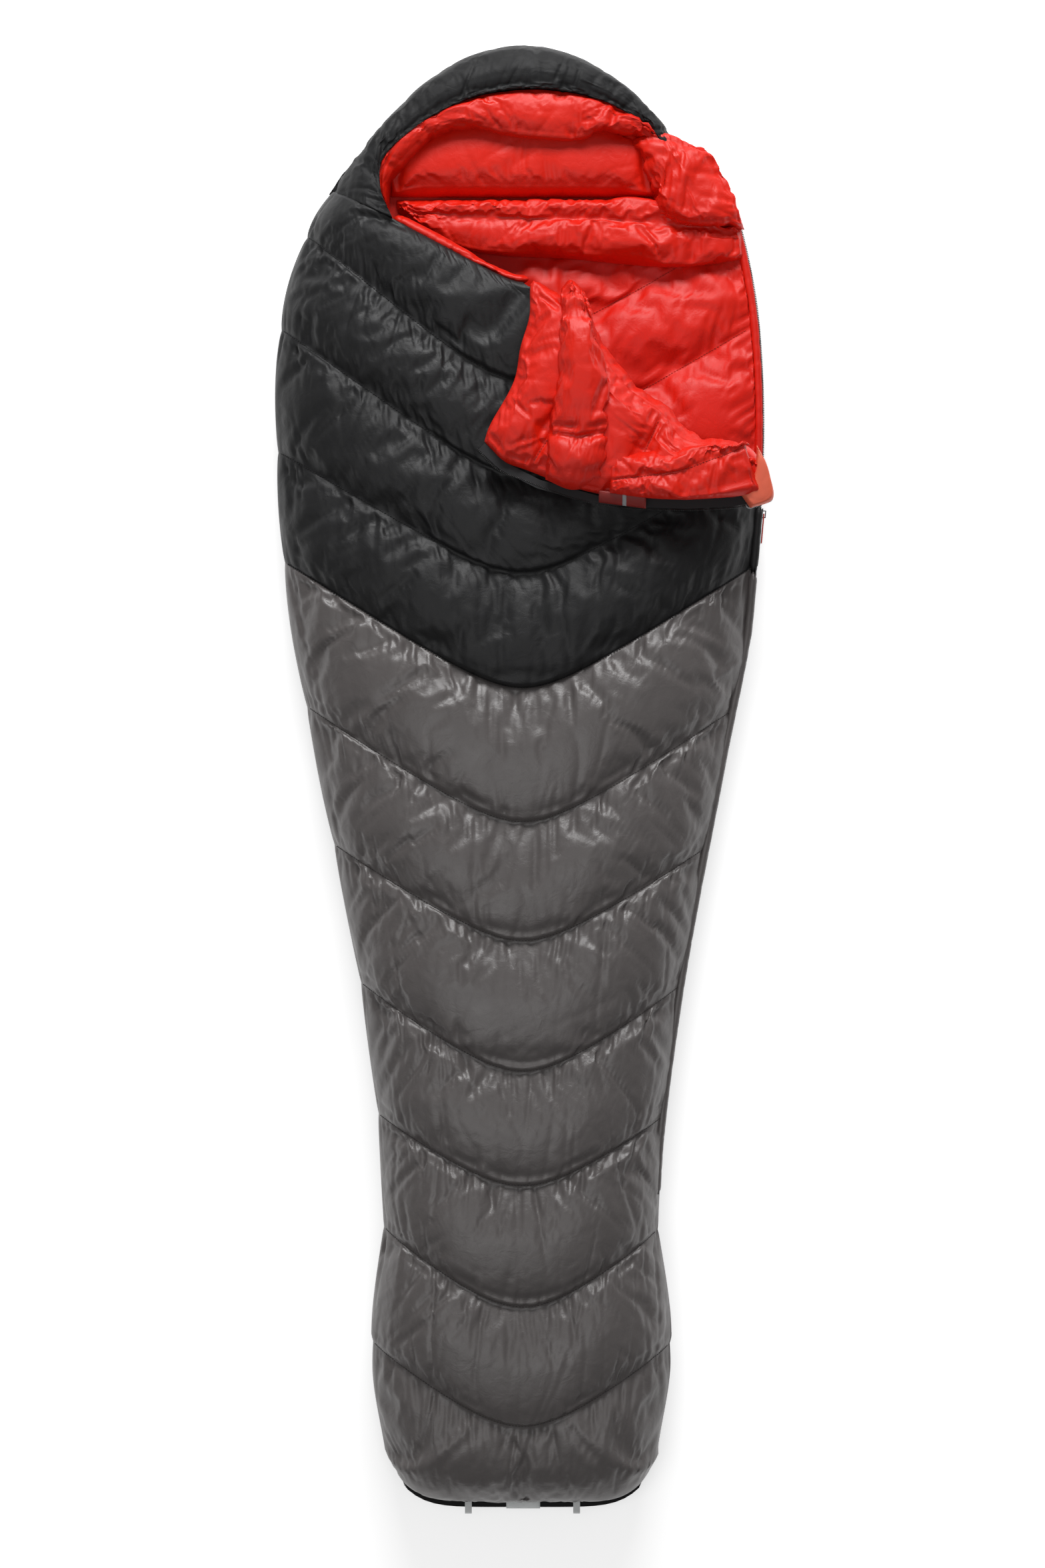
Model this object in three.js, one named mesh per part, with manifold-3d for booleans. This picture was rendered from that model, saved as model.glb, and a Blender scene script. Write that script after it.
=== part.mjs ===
// Mummy sleeping bag, lying flat and empty on its back, with the upper corner of its
// top quilt unzipped and folded over to show the lining. Millimetres, +Z up.
// The origin is on the underside, on the centre line, at the middle of the bag's length.
// +Y runs towards the hood and +X towards the zip side.
import * as THREE from 'three';
import { mergeVertices } from 'three/addons/utils/BufferGeometryUtils.js';
import Module from 'manifold-3d';

const wasm = await Module();
wasm.setup();

// ---- Driving dimensions ----
// Half widths [y, half width] of the fabric on the closed side and on the zip side.
const CLOSED_SIDE = [
  [-1000, 203], [-870, 222], [-640, 202], [-343, 231], [11, 299], [248, 342],
  [484, 359], [661, 353], [780, 320], [850, 283], [940, 222],
];
const ZIP_SIDE = [
  [-1000, 196], [-870, 214], [-640, 192], [-343, 223], [11, 288], [248, 333],
  [484, 348], [661, 342], [780, 322], [850, 299], [921, 250],
];
const FOOT_END = -1074;           // y of the middle of the foot end
const FOOT_CORNER = 80;           // how far the foot end curves back at its corners
const CROWN = 1073;               // y of the hood's crown
const CROWN_BEND = 0.0027;        // the crown is the arc y = CROWN - CROWN_BEND x^2

// Chevron seams [y of the point, slope of the arms, radius of the point], foot to head.
const POINT_RADIUS = 70;
const TOP_SEAMS = [
  [-951, 0.70], [-777, 0.74], [-600, 0.64], [-433, 0.70], [-243, 0.64], [-70, 0.66],
  [125, 0.65], [293, 0.61], [435, 0.75], [572, 0.86],
];
const BACK_SEAMS = [
  [-820, 0.6], [-580, 0.6], [-350, 0.6], [-130, 0.6], [90, 0.6], [300, 0.6],
  [495, 0.6], [647, 0.6],
];
const OPEN_BACK = [6, 7];         // back chambers that stand up where nothing lies on them
const NECK = { y: 715, slope: 0.55, radius: 20 };   // neck edge of the top quilt
const HEAD_SEAM = 850;            // y of the seam under the back of the head
const BLACK_FROM = 7;             // top chambers from this one up are under black fabric

// Heights.
const SEAM_Z = 60;                // side seam and zip
const EDGE = 8;                   // thickness of a quilt at the side seam
const CREST_FOOT = 146;           // top quilt's seam height at the foot
const CREST_CHEST = 156;          // and at the chest
const LOFT = 14;                  // how far a top chamber stands above its seams
const BACK_LOFT = 12;             // the same on the open part of the back
const CEILING = 100;              // underside of the top quilt over the body
const CAVITY_SHARE = Math.sin(Math.PI * 0.3);      // cavity's share of the width
const UNDERSIDE_RISE = 50;        // how far the underside curls up to the side seam
const CURL_FROM = 0.6;            // share of the width where it starts to curl
const FOOT_SLOPE = 200;           // length over which the foot end comes down
const HEAD_SLOPE = 260;           // the same at the crown
const CAVITY_FOOT = 45;           // from the foot end to the cavity
const LOFT_EASE = 60;             // length over which the open back reaches its loft
const COLLAR_FOOT_Y = 720;        // the open back ends here, under the collar

// Fabric and clearances.
const FABRIC = 0.6;
const GAP = 0.3;
const LINING_GAP = 1.2;
const SEAM_INSET = 1.4;           // from a seam's line to the down on either side of it
const COLUMNS_TOP = 10;
const COLUMNS_BACK = 8;
const ROWS = 2;                   // steps along a chamber
const FOOT_ROWS = { top: 4, back: 3 };
const CROWN_ROWS = 3;
const FAR_OUT = 420;              // wider than any half of the bag
const HALVINGS = 40;              // steps of the search for a row's end
const CROWN_TRIM = 12;            // the back's last row ends this far inside the zip side

// The fold: the flap turns about the line from A, on the neck edge, to B, on the zip.
const FOLD_A = new THREE.Vector2(17, 712);
const FOLD_B = new THREE.Vector2(352, 405);
const FOLD_Z = 172;
const FOLD_CLEAR = 3;
const FLAP_THICK = 50;

// Zip.
const ZIP_FOOT_Y = -620;          // lower end of the zip
const ZIP_SPLIT_Y = 392;          // where the slider stands
const ZIP_TOP_Y = 905;
const ZIP_OFFSET = 8;             // from the fabric's edge to the middle of the tape
const STRAIGHT_ZIP = [215, 415];  // y range where the zip runs dead straight
const ZIP_STEP = 85;              // length of one piece of the zip's path where it curves
const TAPE = { thick: 0.7, wide: 13 };
const COIL = { deep: 2.6, wide: 1.6, apart: 0.8 };   // apart: from the middle to each half

// ---- Colours ----
const finish = (color, roughness, metalness = 0) =>
  new THREE.MeshStandardMaterial({ color, roughness, metalness });
const BLACK = () => finish(0x2c2c2c, 0.5);
const GREY = () => finish(0x5a5656, 0.4);
const RED = () => finish(0xd43622, 0.45);
const DOWN = () => finish(0xe9e6df, 0.95);
const NETTING = () => finish(0xf3f3f0, 0.9);
const TAPE_CLOTH = () => finish(0x1d1d1f, 0.8);
const COIL_NYLON = () => finish(0x151516, 0.45);
const ZINC = () => finish(0x3a3b3d, 0.35, 0.8);
const WEBBING = () => finish(0xc4c6c6, 0.8);

const bag = new THREE.Group();

function add(name, geometry, material) {
  const mesh = new THREE.Mesh(geometry, material);
  mesh.name = name;
  bag.add(mesh);
  return mesh;
}

// ---- Mesh helpers ----
function solid(positions, index) {
  const geometry = new THREE.BufferGeometry();
  geometry.setAttribute('position', new THREE.Float32BufferAttribute(positions, 3));
  let volume = 0;
  const [a, b, c] = [new THREE.Vector3(), new THREE.Vector3(), new THREE.Vector3()];
  for (let i = 0; i < index.length; i += 3) {
    a.fromArray(positions, 3 * index[i]);
    b.fromArray(positions, 3 * index[i + 1]);
    c.fromArray(positions, 3 * index[i + 2]);
    volume += a.dot(b.cross(c));
  }
  geometry.setIndex(volume < 0 ? index.reverse() : index);
  return geometry;
}

// A closed slab between two grids of points that have the same rows and columns.
function slab(upper, lower) {
  const rows = upper.length;
  const cols = upper[0].length;
  const positions = [...upper.flat(), ...lower.flat()].flatMap((p) => p.toArray());
  const index = [];
  const up = (i, j) => i * cols + j;
  const low = (i, j) => (rows + i) * cols + j;
  const quad = (a, b, c, d) => index.push(a, b, c, a, c, d);
  for (let i = 0; i + 1 < rows; i += 1) {
    for (let j = 0; j + 1 < cols; j += 1) {
      quad(up(i, j), up(i, j + 1), up(i + 1, j + 1), up(i + 1, j));
      quad(low(i, j), low(i + 1, j), low(i + 1, j + 1), low(i, j + 1));
    }
    quad(low(i, cols - 1), low(i + 1, cols - 1), up(i + 1, cols - 1), up(i, cols - 1));
    quad(low(i + 1, 0), low(i, 0), up(i, 0), up(i + 1, 0));
  }
  for (let j = 0; j + 1 < cols; j += 1) {
    quad(low(0, j), low(0, j + 1), up(0, j + 1), up(0, j));
    quad(low(rows - 1, j + 1), low(rows - 1, j), up(rows - 1, j), up(rows - 1, j + 1));
  }
  return solid(positions, index);
}

// A closed loft through stations {x, y, sideX, sideY}. Each has a profile of [side, z].
function loft(stations, profileAt) {
  const profiles = stations.map((station, i) => profileAt(i, station));
  const count = profiles[0].length;
  const positions = [];
  stations.forEach((s, i) => {
    for (const [side, z] of profiles[i]) positions.push(s.x + side * s.sideX, s.y + side * s.sideY, z);
  });
  const index = [];
  for (let i = 0; i + 1 < stations.length; i += 1) {
    for (let j = 0; j < count; j += 1) {
      const k = (j + 1) % count;
      const [a, b] = [i * count + j, i * count + k];
      index.push(a, b, b + count, a, b + count, a + count);
    }
  }
  const cap = (i) => THREE.ShapeUtils.triangulateShape(
    profiles[i].map(([side, z]) => new THREE.Vector2(side, z)), []);
  const last = stations.length - 1;
  const turned = THREE.ShapeUtils.isClockWise(profiles[0].map(([s, z]) => new THREE.Vector2(s, z)));
  for (const [a, b, c] of cap(0)) index.push(...(turned ? [a, b, c] : [c, b, a]));
  for (const face of cap(last)) {
    const [a, b, c] = face.map((v) => last * count + v);
    index.push(...(turned ? [c, b, a] : [a, b, c]));
  }
  return solid(positions, index);
}

// Stations along a path in plan, with the side direction to the right of travel.
function stationsOn(points) {
  return points.map((p, i) => {
    const before = points[Math.max(0, i - 1)];
    const after = points[Math.min(points.length - 1, i + 1)];
    const along = new THREE.Vector2().subVectors(after, before).normalize();
    return { x: p.x, y: p.y, sideX: along.y, sideY: -along.x };
  });
}

const box = (side, z, halfSide, halfZ) => [
  [side - halfSide, z - halfZ], [side + halfSide, z - halfZ],
  [side + halfSide, z + halfZ], [side - halfSide, z + halfZ],
];

// A pad with rounded edges over a plan outline of [x, y] points.
function pad(outline, low, high, round) {
  const shape = new THREE.Shape(outline.map(([x, y]) => new THREE.Vector2(x, y)));
  const geometry = new THREE.ExtrudeGeometry(shape, {
    depth: high - low - 2 * round,
    bevelEnabled: round > 0,
    bevelThickness: round,
    bevelSize: round,
    bevelOffset: -round,
    bevelSegments: 2,
    steps: 1,
  });
  geometry.translate(0, 0, low + round);
  return merged(geometry);
}

function merged(geometry) {
  geometry.deleteAttribute('normal');
  geometry.deleteAttribute('uv');
  return mergeVertices(geometry, 1e-4);
}

function toManifold(geometry) {
  const whole = merged(geometry.clone());
  return new wasm.Manifold(new wasm.Mesh({
    numProp: 3,
    vertProperties: new Float32Array(whole.attributes.position.array),
    triVerts: new Uint32Array(whole.index.array),
  }));
}

function joined(geometries) {
  const [first, ...rest] = geometries.map(toManifold);
  const mesh = rest.reduce((sum, next) => sum.add(next), first).getMesh();
  return solid(Array.from(mesh.vertProperties), Array.from(mesh.triVerts));
}

// ---- Plan ----
function widthAt(stations, y) {
  const last = stations.length - 1;
  const i = Math.min(last - 1, Math.max(0, stations.findIndex(([at]) => at > y) - 1));
  if (y <= stations[0][0]) return stations[0][1];
  if (y >= stations[last][0]) return stations[last][1];
  const [y0, w0] = stations[i];
  const [y1, w1] = stations[i + 1];
  const slope = (a, b) => (stations[b][1] - stations[a][1]) / (stations[b][0] - stations[a][0]);
  const m0 = i > 0 ? slope(i - 1, i + 1) : slope(0, 1);
  const m1 = i + 2 <= last ? slope(i, i + 2) : slope(last - 1, last);
  const [t, h] = [(y - y0) / (y1 - y0), y1 - y0];
  return (2 * t ** 3 - 3 * t ** 2 + 1) * w0 + (t ** 3 - 2 * t ** 2 + t) * h * m0
    + (3 * t ** 2 - 2 * t ** 3) * w1 + (t ** 3 - t ** 2) * h * m1;
}

const chevron = (y, slope, radius = POINT_RADIUS) =>
  (x) => y + slope * (Math.hypot(x, radius) - radius);
const footEnd = (x) => FOOT_END + FOOT_CORNER * (Math.abs(x) / 205) ** 6;
const crownEnd = (x) => CROWN - CROWN_BEND * x * x;

const foldAlong = new THREE.Vector2().subVectors(FOLD_B, FOLD_A).normalize();
const foldSide = new THREE.Vector2(-foldAlong.y, foldAlong.x);   // away from the chest
const pastFold = (x, y) => (x - FOLD_A.x) * foldSide.x + (y - FOLD_A.y) * foldSide.y;

// The widest x on a row at which the reach function is still negative.
function edgeOf(reach) {
  let [low, high] = [0, FAR_OUT];
  for (let i = 0; i < HALVINGS; i += 1) {
    const middle = (low + high) / 2;
    if (reach(middle) > 0) high = middle; else low = middle;
  }
  return low;
}

// Points of a row, from the closed side to the zip side or to the fold.
function rowPoints(curve, columns, folded = false, ends = null) {
  const left = ends ? ends[0] : -edgeOf((x) => x - widthAt(CLOSED_SIDE, curve(-x)));
  const right = ends ? ends[1] : edgeOf((x) => Math.max(
    x - widthAt(ZIP_SIDE, curve(x)),
    folded ? pastFold(x, curve(x)) + FOLD_CLEAR : -1,
  ));
  return Array.from({ length: columns + 1 }, (_, k) => {
    const share = (1 + Math.sin((Math.PI / 2) * ((2 * k) / columns - 1))) / 2;
    const x = left + (right - left) * share;
    return new THREE.Vector2(x, curve(x));
  });
}

function between(first, last, share) {
  return first.map((p, k) => new THREE.Vector2().lerpVectors(p, last[k], share));
}

// ---- Heights ----
const clamp = THREE.MathUtils.clamp;
const bluff = (p) => Math.sqrt(Math.max(0, 1 - clamp(p, 0, 1) ** 4));
const acrossShare = (x, y) =>
  (x < 0 ? -x / widthAt(CLOSED_SIDE, y) : x / widthAt(ZIP_SIDE, y));
const footShare = (x, y, flat = 0) => 1 - (y - footEnd(x) - flat) / FOOT_SLOPE;
const headShare = (x, y) => 1 - (crownEnd(x) - y) / HEAD_SLOPE;

function topZ(x, y, loftHere) {
  const crest = THREE.MathUtils.mapLinear(clamp(y, -1000, 400), -1000, 400, CREST_FOOT, CREST_CHEST);
  const p = Math.max(acrossShare(x, y), footShare(x, y));
  return SEAM_Z + EDGE + (crest - SEAM_Z - EDGE + loftHere) * bluff(p);
}

function ceilingZ(x, y) {
  const base = SEAM_Z + 2 * LINING_GAP;
  const p = Math.max(acrossShare(x, y) / CAVITY_SHARE, footShare(x, y, CAVITY_FOOT));
  return base + (CEILING - base) * bluff(p);
}

function undersideZ(x, y) {
  const p = Math.max(acrossShare(x, y), footShare(x, y), headShare(x, y));
  const q = clamp((p - CURL_FROM) / (1 - CURL_FROM), 0, 1);
  return UNDERSIDE_RISE * (1 - Math.sqrt(1 - q * q));
}

// The back stands up only where neither the top quilt nor the collar lies on it.
function backTopZ(x, y, loftHere) {
  const open = clamp(pastFold(x, y) / LOFT_EASE, 0, 1)
    * clamp((COLLAR_FOOT_Y - y) / LOFT_EASE, 0, 1);
  return SEAM_Z - 2 * LINING_GAP + loftHere * open * bluff(acrossShare(x, y));
}

const raise = (row, height) => row.map((p) => new THREE.Vector3(p.x, p.y, height(p.x, p.y)));

// ---- Chambers ----
// Each chamber is a list of rows {points, loft}, from its foot side to its head side.
function chamberRows(from, to, steps, loftHere, pointsOf) {
  return Array.from({ length: steps + 1 }, (_, i) => {
    const share = i / steps;
    const curve = (x) => (from(x) + SEAM_INSET) * (1 - share) + (to(x) - SEAM_INSET) * share;
    return { points: pointsOf(curve, share), loft: loftHere * 4 * share * (1 - share) };
  });
}

function topChambers() {
  const curves = [footEnd, ...TOP_SEAMS.map(([y, slope]) => chevron(y, slope)),
    chevron(NECK.y, NECK.slope, NECK.radius)];
  return curves.slice(0, -1).map((from, i) => {
    const pointsOf = (curve) => rowPoints(curve, COLUMNS_TOP, i >= BLACK_FROM);
    return chamberRows(from, curves[i + 1], i === 0 ? FOOT_ROWS.top : ROWS, LOFT, pointsOf);
  });
}

function backChambers() {
  const headSeam = () => HEAD_SEAM;
  const curves = [footEnd, ...BACK_SEAMS.map(([y, slope]) => chevron(y, slope)), headSeam];
  const pointsOf = (curve) => rowPoints(curve, COLUMNS_BACK);
  const chambers = curves.slice(0, -1).map((from, i) => chamberRows(
    from, curves[i + 1], i === 0 ? FOOT_ROWS.back : ROWS, OPEN_BACK.includes(i) ? BACK_LOFT : 0,
    pointsOf));
  const crownEnds = [-CLOSED_SIDE.at(-1)[1], ZIP_SIDE.at(-1)[1] - CROWN_TRIM];
  const first = rowPoints(() => HEAD_SEAM + SEAM_INSET, COLUMNS_BACK);
  const last = rowPoints(crownEnd, COLUMNS_BACK, false, crownEnds);
  chambers.push(chamberRows(
    headSeam, crownEnd, CROWN_ROWS, 0, (_, share) => between(first, last, share)));
  return chambers;
}

const numbered = (name, i) => `${name}_${String(i + 1).padStart(2, '0')}`;

function grid(rows, height) {
  return rows.map((row) => raise(row.points, (x, y) => height(x, y, row.loft)));
}

// A grid that runs straight from the first row to the last.
function ruled(rows, height) {
  const [first, last] = [rows[0], rows.at(-1)].map((row) => raise(row.points, height));
  return rows.map((_, i) => first.map((p, k) => p.clone().lerp(last[k], i / (rows.length - 1))));
}

function skin(rows, height, offset) {
  return slab(
    grid(rows, (x, y, l) => height(x, y, l) + offset + FABRIC),
    grid(rows, (x, y, l) => height(x, y, l) + offset),
  );
}

// ---- Top quilt ----
function makeTopQuilt() {
  const chambers = topChambers();
  const undersides = chambers.map((rows, i) => (i === 0 ? grid : ruled)(rows, ceilingZ));
  chambers.forEach((rows, i) => {
    add(numbered('top_down_chamber', i), slab(grid(rows, topZ), undersides[i]), DOWN());
  });
  add('top_shell_grey', skin(chambers.slice(0, BLACK_FROM).flat(), topZ, GAP), GREY());
  add('top_shell_black', skin(chambers.slice(BLACK_FROM).flat(), topZ, GAP), BLACK());
  const lowered = (drop) => undersides.flat().map((row) => row.map(
    (p) => new THREE.Vector3(p.x, p.y, p.z - drop)));
  add('top_lining', slab(lowered(LINING_GAP), lowered(LINING_GAP + FABRIC)), RED());
  makeBaffles(chambers);
}

// Netting walls between the top chambers, from lining to shell.
function makeBaffles(chambers) {
  for (let i = 0; i + 1 < chambers.length; i += 1) {
    const [below, above] = [chambers[i].at(-1).points, chambers[i + 1][0].points];
    const half = FABRIC / 2 / (2 * SEAM_INSET);
    const walls = [between(below, above, 0.5 - half), between(below, above, 0.5 + half)];
    const upper = walls.map((row) => raise(row, (x, y) => topZ(x, y, 0) - GAP));
    const lower = walls.map((row) => raise(row, (x, y) => ceilingZ(x, y) + GAP));
    add(numbered('top_baffle_wall', i), slab(upper, lower), NETTING());
  }
}

// ---- Back quilt ----
function makeBackQuilt() {
  const chambers = backChambers();
  chambers.forEach((rows, i) => {
    const upper = grid(rows, backTopZ);
    const lower = grid(rows, (x, y) => undersideZ(x, y) + FABRIC + GAP);
    add(numbered('back_down_chamber', i), slab(upper, lower), DOWN());
  });
  const rows = chambers.flat();
  add('back_shell', skin(rows, undersideZ, 0), BLACK());
  add('back_lining', skin(rows, backTopZ, LINING_GAP - FABRIC), RED());
}

// ---- Hood ----
// Pairs of points, on the hood's outside and on its rim, from the cheek round the crown.
const HOOD = [
  [-283, 868, -189, 817], [-262, 890, -207, 852], [-232, 922, -206, 896],
  [-198, 960, -176, 930], [-145, 1013, -122, 968], [-78, 1055, -60, 994],
  [0, 1072, 0, 1003], [78, 1055, 66, 999], [145, 1014, 126, 982], [196, 967, 172, 955],
  [232, 922, 206, 921],
];
const HOOD_CREST = [128, 130, 132, 134, 136, 138, 138, 136, 130, 118, 104];
const HOOD_BOTTOM = SEAM_Z + 2 * GAP + FABRIC;
const HOOD_ARCH = [[0, 0], [0.1, 0.55], [0.3, 0.9], [0.6, 1], [0.85, 0.93], [1, 0.75]];
const CHEEK_END = 5;              // station where the cheek chamber meets the crown chamber
const CHAMBER_SPLIT = 0.02;       // share of a station left open between the two
const ROLL = { reach: 58, low: 91, high: 137, first: 2, clear: 1.5, slim: 0.45, sides: 10 };

function hoodStations() {
  return HOOD.map(([x, y, rimX, rimY]) => {
    const width = Math.hypot(rimX - x, rimY - y);
    return { x, y, sideX: (rimX - x) / width, sideY: (rimY - y) / width, width };
  });
}

// The arch over a hood station, from its outer edge to its rim, at an inset from the shell.
function hoodArch(width, crest, inset) {
  const rise = crest - SEAM_Z - EDGE;
  return HOOD_ARCH.map(([share, height]) => [
    inset + (width - 2 * inset) * share, SEAM_Z + EDGE + rise * height - inset]);
}

function makeHood() {
  const stations = hoodStations();
  const place = (s, [side, z]) => new THREE.Vector3(s.x + side * s.sideX, s.y + side * s.sideY, z);
  const arches = (inset) => stations.map((s, i) => hoodArch(s.width, HOOD_CREST[i], inset)
    .map((point) => place(s, point)));
  const under = arches(FABRIC + GAP).map((row) => row.map((p) => new THREE.Vector3(p.x, p.y, HOOD_BOTTOM)));
  const down = arches(FABRIC + GAP);
  const wall = (rows) => rows.map((row, i) => (i > 0 ? row
    : row.map((p, k) => p.clone().lerp(rows[1][k], CHAMBER_SPLIT))));
  add('hood_shell', slab(arches(0), arches(FABRIC)), BLACK());
  add('hood_down_cheek', slab(down.slice(0, CHEEK_END + 1), under.slice(0, CHEEK_END + 1)), DOWN());
  add('hood_down_crown', slab(wall(down.slice(CHEEK_END)), wall(under.slice(CHEEK_END))), DOWN());
  makeHoodRoll(stations);
}

// The padded roll inside the rim, which draws in round the face.
function makeHoodRoll(stations) {
  const { reach, low, high, first, clear, slim, sides } = ROLL;
  const geometry = loft(stations.slice(first), (i, s) => {
    const half = (reach * (i === 0 ? slim : 1)) / 2;
    const centre = s.width + clear + half;
    const [middle, tall] = [(low + high) / 2, (high - low) / 2];
    return Array.from({ length: sides }, (_, k) => {
      const turn = (k / sides) * Math.PI * 2;
      return [centre + half * Math.cos(turn), middle + tall * Math.sin(turn)];
    });
  });
  add('hood_face_roll', geometry, RED());
}

// Padded pieces sewn to the back lining, round the head and the shoulders.
const HEAD_PADS = {
  head_pad: { top: 86, round: 10, outline: [
    [-184, 853], [186, 853], [176, 900], [150, 938], [90, 968], [0, 985], [-90, 970],
    [-150, 925], [-180, 890],
  ] },
  hood_side_pad: { top: 100, round: 7, outline: [
    [196, 852], [228, 812], [318, 812], [304, 848], [268, 898], [236, 912], [214, 904], [188, 900],
  ] },
  shoulder_collar: { top: 92, round: 8, outline: [
    [-182, 818], [-148, 802], [-60, 770], [74, 760], [225, 748], [318, 761], [314, 806],
    [224, 806], [190, 846], [-184, 846],
  ] },
};

function makeHeadPads() {
  for (const [name, { top, round, outline }] of Object.entries(HEAD_PADS)) {
    add(name, pad(outline, SEAM_Z + GAP, top, round), RED());
  }
}

// ---- Flap ----
// Outline of the folded corner, from the neck end of the fold round to its zip end.
const FLAP_EDGE = [
  [11, 702], [10, 660], [-3, 615], [-13, 565], [-48, 502], [-54, 478], [-24, 450],
  [26, 425], [110, 402], [237, 396], [303, 400], [342, 406],
];
const FLAP_TIP = 5;               // index of the tip, where the flap's zip tape ends
const FLAP_ZIP_CLEAR = 1;         // from the flap's edge to its zip tape
const FOLD_ENDS = [338, 24];      // x of the outline's two points on the fold
const FLAP_SEAM_CLEAR = 3;        // from the outline and the seams to the down
const FLAP_ROUND = 8;             // rounding of the flap's down chambers
const FLAP_COLLAR = { rise: 26, round: 10, outline: [
  [31, 424], [60, 416], [96, 413], [118, 424], [124, 470], [124, 560], [106, 617],
  [60, 659], [32, 684], [25, 660], [30, 600], [36, 520],
] };
const DRAFT_TUBE = { rise: 18, round: 8, outline: [
  [130, 405], [237, 401], [300, 405], [322, 410], [290, 446], [266, 466], [200, 462], [130, 458],
] };

function foldPoint(x) {
  const share = (x - FOLD_A.x) / (FOLD_B.x - FOLD_A.x);
  const p = new THREE.Vector2().lerpVectors(FOLD_A, FOLD_B, share);
  return [p.x - foldSide.x * FOLD_CLEAR, p.y - foldSide.y * FOLD_CLEAR];
}

function shrunk(outline, distance) {
  const centre = outline.reduce(
    ([a, b], [x, y]) => [a + x / outline.length, b + y / outline.length], [0, 0]);
  return outline.map(([x, y]) => {
    const reach = Math.hypot(x - centre[0], y - centre[1]);
    const keep = (reach - distance) / reach;
    return [centre[0] + (x - centre[0]) * keep, centre[1] + (y - centre[1]) * keep];
  });
}

function makeFlap() {
  const low = FOLD_Z + 2 * GAP;
  const high = FOLD_Z + FLAP_THICK;
  const outline = [...FLAP_EDGE, ...FOLD_ENDS.map(foldPoint)];
  add('flap_shell', pad(outline, low, low + FABRIC, 0), BLACK());
  add('flap_lining', pad(outline, high - FABRIC, high, 0), RED());
  const [bottom, top] = [low + FABRIC + GAP, high - FABRIC - GAP];
  const edge = (from, to) => FLAP_EDGE.slice(from, to);
  // Each chamber's outline: along the flap's edge, then its seams and the fold.
  const parts = {
    flap_down_neck: [...edge(0, 7), [2, 441], [107, 622], foldPoint(30)],
    flap_down_middle: [[16, 433], ...edge(8, 9), [134, 402], [193, 541], foldPoint(122)],
    flap_down_zip: [[146, 402], ...edge(9, 11), foldPoint(300), foldPoint(210)],
  };
  for (const [name, shape] of Object.entries(parts)) {
    add(name, pad(shrunk(shape, FLAP_SEAM_CLEAR), bottom, top, FLAP_ROUND), DOWN());
  }
  for (const [name, { rise, round, outline: shape }] of [
    ['flap_collar', FLAP_COLLAR], ['draft_tube', DRAFT_TUBE]]) {
    add(name, pad(shape, high + GAP, high + rise, round), RED());
  }
  makeFlapZip((low + high) / 2);
}

function makeFlapZip(z) {
  const path = stationsOn(FLAP_EDGE.slice(FLAP_TIP).map(([x, y]) => new THREE.Vector2(x, y)));
  const middle = FLAP_ZIP_CLEAR + TAPE.wide / 2;
  add('flap_zip_tape', loft(path, () => box(middle, z, TAPE.wide / 2, TAPE.thick / 2)), TAPE_CLOTH());
  const coil = FLAP_ZIP_CLEAR + TAPE.wide + GAP + COIL.wide / 2;
  add('flap_zip_coil', loft(path, () => box(coil, z, COIL.wide / 2, COIL.deep / 2)), COIL_NYLON());
}

// ---- Zip on the bag ----
function zipX(y) {
  const [low, high] = STRAIGHT_ZIP;
  const at = (v) => widthAt(ZIP_SIDE, v) + ZIP_OFFSET;
  if (y <= low || y >= high) return at(y);
  return THREE.MathUtils.mapLinear(y, low, high, at(low), at(high));
}

function zipPath(from, to) {
  const stops = [from, ...STRAIGHT_ZIP.filter((y) => y > from && y < to), to];
  const points = [];
  for (let i = 0; i + 1 < stops.length; i += 1) {
    const straight = stops[i] === STRAIGHT_ZIP[0] || stops[i + 1] === STRAIGHT_ZIP[1];
    const pieces = straight ? 1 : Math.max(1, Math.round((stops[i + 1] - stops[i]) / ZIP_STEP));
    for (let k = 0; k < pieces; k += 1) {
      const y = stops[i] + ((stops[i + 1] - stops[i]) * k) / pieces;
      points.push(new THREE.Vector2(zipX(y), y));
    }
  }
  points.push(new THREE.Vector2(zipX(to), to));
  return stationsOn(points);
}

function makeZip() {
  const closed = zipPath(ZIP_FOOT_Y, ZIP_SPLIT_Y);
  const whole = zipPath(ZIP_FOOT_Y, ZIP_TOP_Y);
  const coilZ = COIL.apart + COIL.wide / 2;
  const tapeZ = COIL.apart + COIL.wide + GAP + TAPE.wide / 2;
  const half = (name, path, way) => {
    add(`zip_tape_${name}`, loft(path, () => box(0, SEAM_Z + way * tapeZ, TAPE.thick / 2, TAPE.wide / 2)),
      TAPE_CLOTH());
    add(`zip_coil_${name}`, loft(path, () => box(0, SEAM_Z + way * coilZ, COIL.deep / 2, COIL.wide / 2)),
      COIL_NYLON());
  };
  half('upper', closed, 1);
  half('lower', whole, -1);
}

// Slider and puller, drawn round the origin: x out from the bag, y along the zip.
const SLIDER = { long: 16, high: 11, plate: 1.6, gap: 4.4 };
const POST = { from: 2, to: 6, half: 0.5 };   // joins the two plates between the coils
const BAIL = { long: 11, wide: 3, bar: 1.3, clear: 3.4, sunk: 0.5 };
const PULLER = { bar: 1.6, arm: 1.3, arms: 9.4, reach: 13, tab: 30, thick: 1.6, lap: 1 };

function block(x0, x1, y0, y1, z0, z1) {
  const geometry = new THREE.BoxGeometry(x1 - x0, y1 - y0, z1 - z0);
  return geometry.translate((x0 + x1) / 2, (y0 + y1) / 2, (z0 + z1) / 2);
}

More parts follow.
